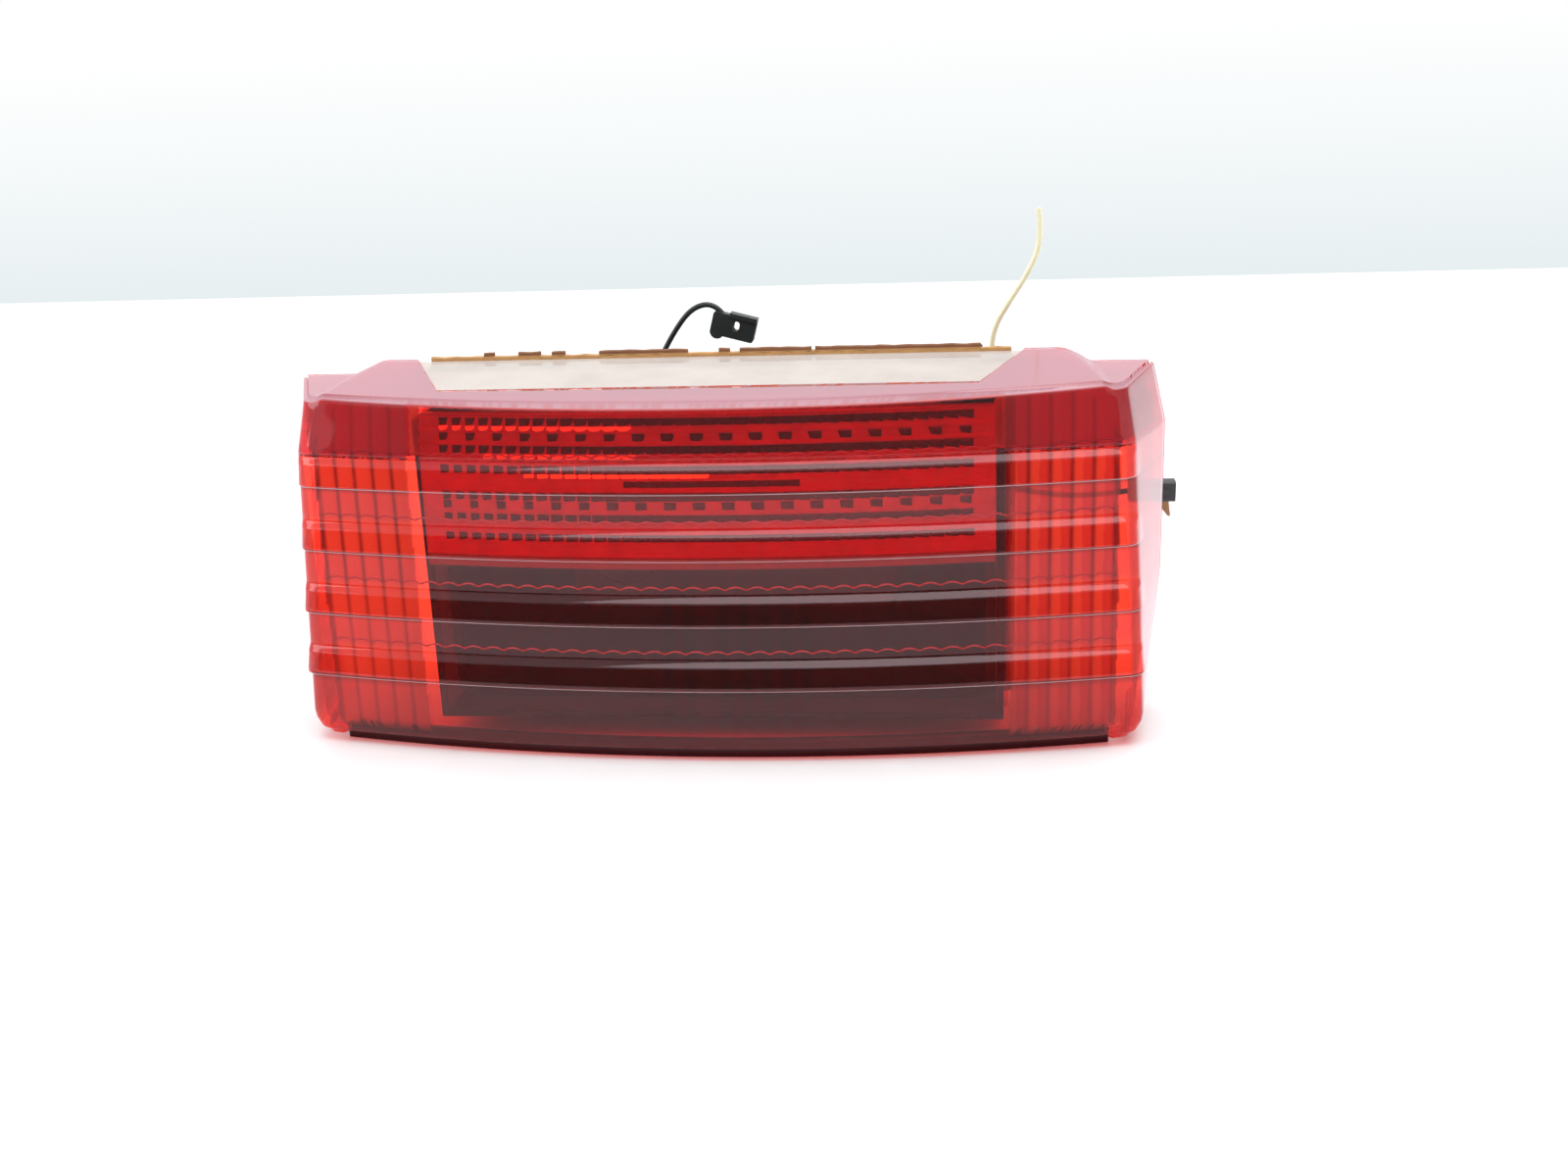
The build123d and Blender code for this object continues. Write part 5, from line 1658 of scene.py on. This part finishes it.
@dataclass(frozen=True)
class LightPlan:
    """A soft square light: where it hangs, what it faces, its side in metres and its power in watts."""

    name: str
    place: Point
    aim: Point
    side: float
    power: float


@dataclass(frozen=True)
class Backdrop:
    """The bright wall behind the table, a little darker near its foot."""

    foot: float = -0.35
    top: float = 0.25
    shades: tuple[tuple[float, Colour], ...] = ((0.0, (0.72, 0.80, 0.82)), (0.75, (0.93, 0.96, 0.97)),
                                                (1.0, WHITE))

    def make(self) -> bpy.types.Material:
        """Builds the material.

        Returns:
            The material.
        """
        finish = Finish("backdrop")
        inputs = {"Value": finish.place("Z"), "From Min": self.foot, "From Max": self.top}
        fade = finish.ramp(finish.node("ShaderNodeMapRange", inputs).outputs["Result"], self.shades)
        return finish.surface(finish.node("ShaderNodeEmission", {"Color": fade}).outputs["Emission"])


class Studio:
    """Camera, pale table, backdrop and soft light."""

    def __init__(self, camera: CameraPlan) -> None:
        self.plan = camera

    def place_camera(self) -> None:
        """Puts the camera where the plan says."""
        data = bpy.data.cameras.new("camera")
        data.lens = self.plan.focal
        data.sensor_width = self.plan.sensor
        data.clip_start = self.plan.nearest
        data.clip_end = self.plan.farthest
        made = bpy.data.objects.new("camera", data)
        bpy.context.scene.collection.objects.link(made)
        sin_yaw, cos_yaw = math.sin(self.plan.yaw), math.cos(self.plan.yaw)
        sin_pitch, cos_pitch = math.sin(self.plan.pitch), math.cos(self.plan.pitch)
        forward = Vector((-sin_yaw * cos_pitch, cos_yaw * cos_pitch, -sin_pitch))
        right = Vector((cos_yaw, sin_yaw, 0.0))
        up = right.cross(forward)
        sin_roll, cos_roll = math.sin(self.plan.roll), math.cos(self.plan.roll)
        right_rolled = right * cos_roll - up * sin_roll
        up_rolled = right * sin_roll + up * cos_roll
        turned = Matrix((right_rolled, up_rolled, -forward)).transposed().to_4x4()
        made.matrix_world = Matrix.Translation(Vector(self.plan.place)) @ turned
        bpy.context.scene.camera = made

    def card(self, name: str, corners: list[Point], material: bpy.types.Material) -> bpy.types.Object:
        """A flat four-cornered card, such as the table or a backdrop.

        Args:
            name: its name.
            corners: its four corners, in order.
            material: its finish.

        Returns:
            The card.
        """
        mesh = bpy.data.meshes.new(name)
        mesh.from_pydata(corners, [], [(0, 1, 2, 3)])
        made = bpy.data.objects.new(name, mesh)
        made.data.materials.append(material)
        bpy.context.scene.collection.objects.link(made)
        return made

    def build(self) -> None:
        """Makes the table, the backdrop, the dark room ahead and the lights."""
        table = Moulded("table_white", (0.86, 0.865, 0.87), 0.55, 0.01 * MM, spread=0.01, scale=60.0)
        room = Moulded("room_dark", (0.05, 0.05, 0.052), 0.9, spread=0.1)
        self.card("table", [(-2.5, -1.3, 0), (2.5, -1.3, 0), (2.5, 1.05, 0), (-2.5, 1.09, 0)], table.make())
        wall = [(-4, 2.4, -0.6), (4, 2.4, -0.6), (4, 2.4, 2.6), (-4, 2.4, 2.6)]
        self.card("backdrop", wall, Backdrop().make())
        ahead = [(-2.2, -1.9, 0.0), (2.2, -1.9, 0.0), (2.2, -1.9, 1.0), (-2.2, -1.9, 1.0)]
        self.card("room_ahead", ahead, room.make())
        self.light(LightPlan("ceiling", (0.2, -0.2, 1.7), (0, 0, 0), 1.6, 26.0))
        self.light(LightPlan("left_window", (-1.5, -0.4, 0.9), (0, 0, 0.05), 0.9, 9.0))
        world = bpy.data.worlds.new("world")
        world.use_nodes = True
        sky = world.node_tree.nodes["Background"]
        sky.inputs["Color"].default_value = (0.97, 0.985, 1.0, 1.0)
        sky.inputs["Strength"].default_value = 0.85
        bpy.context.scene.world = world
        bpy.context.scene.view_settings.view_transform = "Standard"

    def light(self, plan: LightPlan) -> None:
        """Hangs a light.

        Args:
            plan: the light.
        """
        data = bpy.data.lights.new(plan.name, "AREA")
        data.size = plan.side
        data.energy = plan.power
        made = bpy.data.objects.new(plan.name, data)
        made.location = plan.place
        made.rotation_euler = (Vector(plan.aim) - Vector(plan.place)).to_track_quat("-Z", "Y").to_euler()
        bpy.context.scene.collection.objects.link(made)


def add_piece(piece: bpy.types.Object, finish: bpy.types.Material, slot: str, *nodes: str) -> None:
    """Puts a fixed piece on the lamp, in place of nodes of the solid model where they are named.

    Args:
        piece: the piece.
        finish: its material.
        slot: the record's name for its material; not used.
        nodes: nodes that it stands for.
    """
    piece.data.materials.clear()
    piece.data.materials.append(finish)
    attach(piece, "lamp")
    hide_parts(*nodes)
    log.info("made %s", piece.name)


def add_coil(frame: dict, name: str, paints: Paints) -> None:
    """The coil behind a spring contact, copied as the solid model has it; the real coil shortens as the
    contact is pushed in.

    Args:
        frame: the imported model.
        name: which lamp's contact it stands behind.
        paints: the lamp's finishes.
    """
    node = f"{name}_contact_spring"
    mesh = frame["nodes"][node].data.copy()
    mesh.transform(frame["nodes"][node].matrix_world)
    mesh.materials.clear()
    mesh.materials.append(paints["spring_steel"])
    coil = bpy.data.objects.new(f"{name}_coil", mesh)
    bpy.context.scene.collection.objects.link(coil)
    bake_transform(coil)
    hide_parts(node)
    log.info("made %s", coil.name)


def main() -> None:
    """Builds the dressed lamp."""
    logging.basicConfig(level=logging.INFO)
    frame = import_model()
    studio = Studio(CameraPlan())
    studio.place_camera()
    paints = Paints()
    Leads().build(frame, paints)
    dress_nodes(frame, paints)
    lens = Lens(LensSize(), LensMarks())
    add_piece(lens.build(), paints["lens_red"], "lens_red", "lens_cover")
    add_piece(lens.rim(), paints["rim_crimson"], "lens_red", "lens_cover")
    add_piece(lens.scallops(), paints["step_crimson"], "lens_red", "lens_cover")
    add_piece(seal_lip(SealSize()), paints["seal_brown"], "seal_brown")
    reflex = ReflexPanel(lens.shape, ReflexSize())
    add_piece(reflex.panel(), paints["reflex_red"], "reflex_red", "reflex_panel")
    for kind in Cell:
        finish = paints[kind.value]
        add_piece(reflex.cells(kind, finish), finish, "reflex_red", "reflex_panel")
    for name in ("brake", "tail"):
        add_coil(frame, name, paints)
    studio.build()


if __name__ == "__main__":
    main()
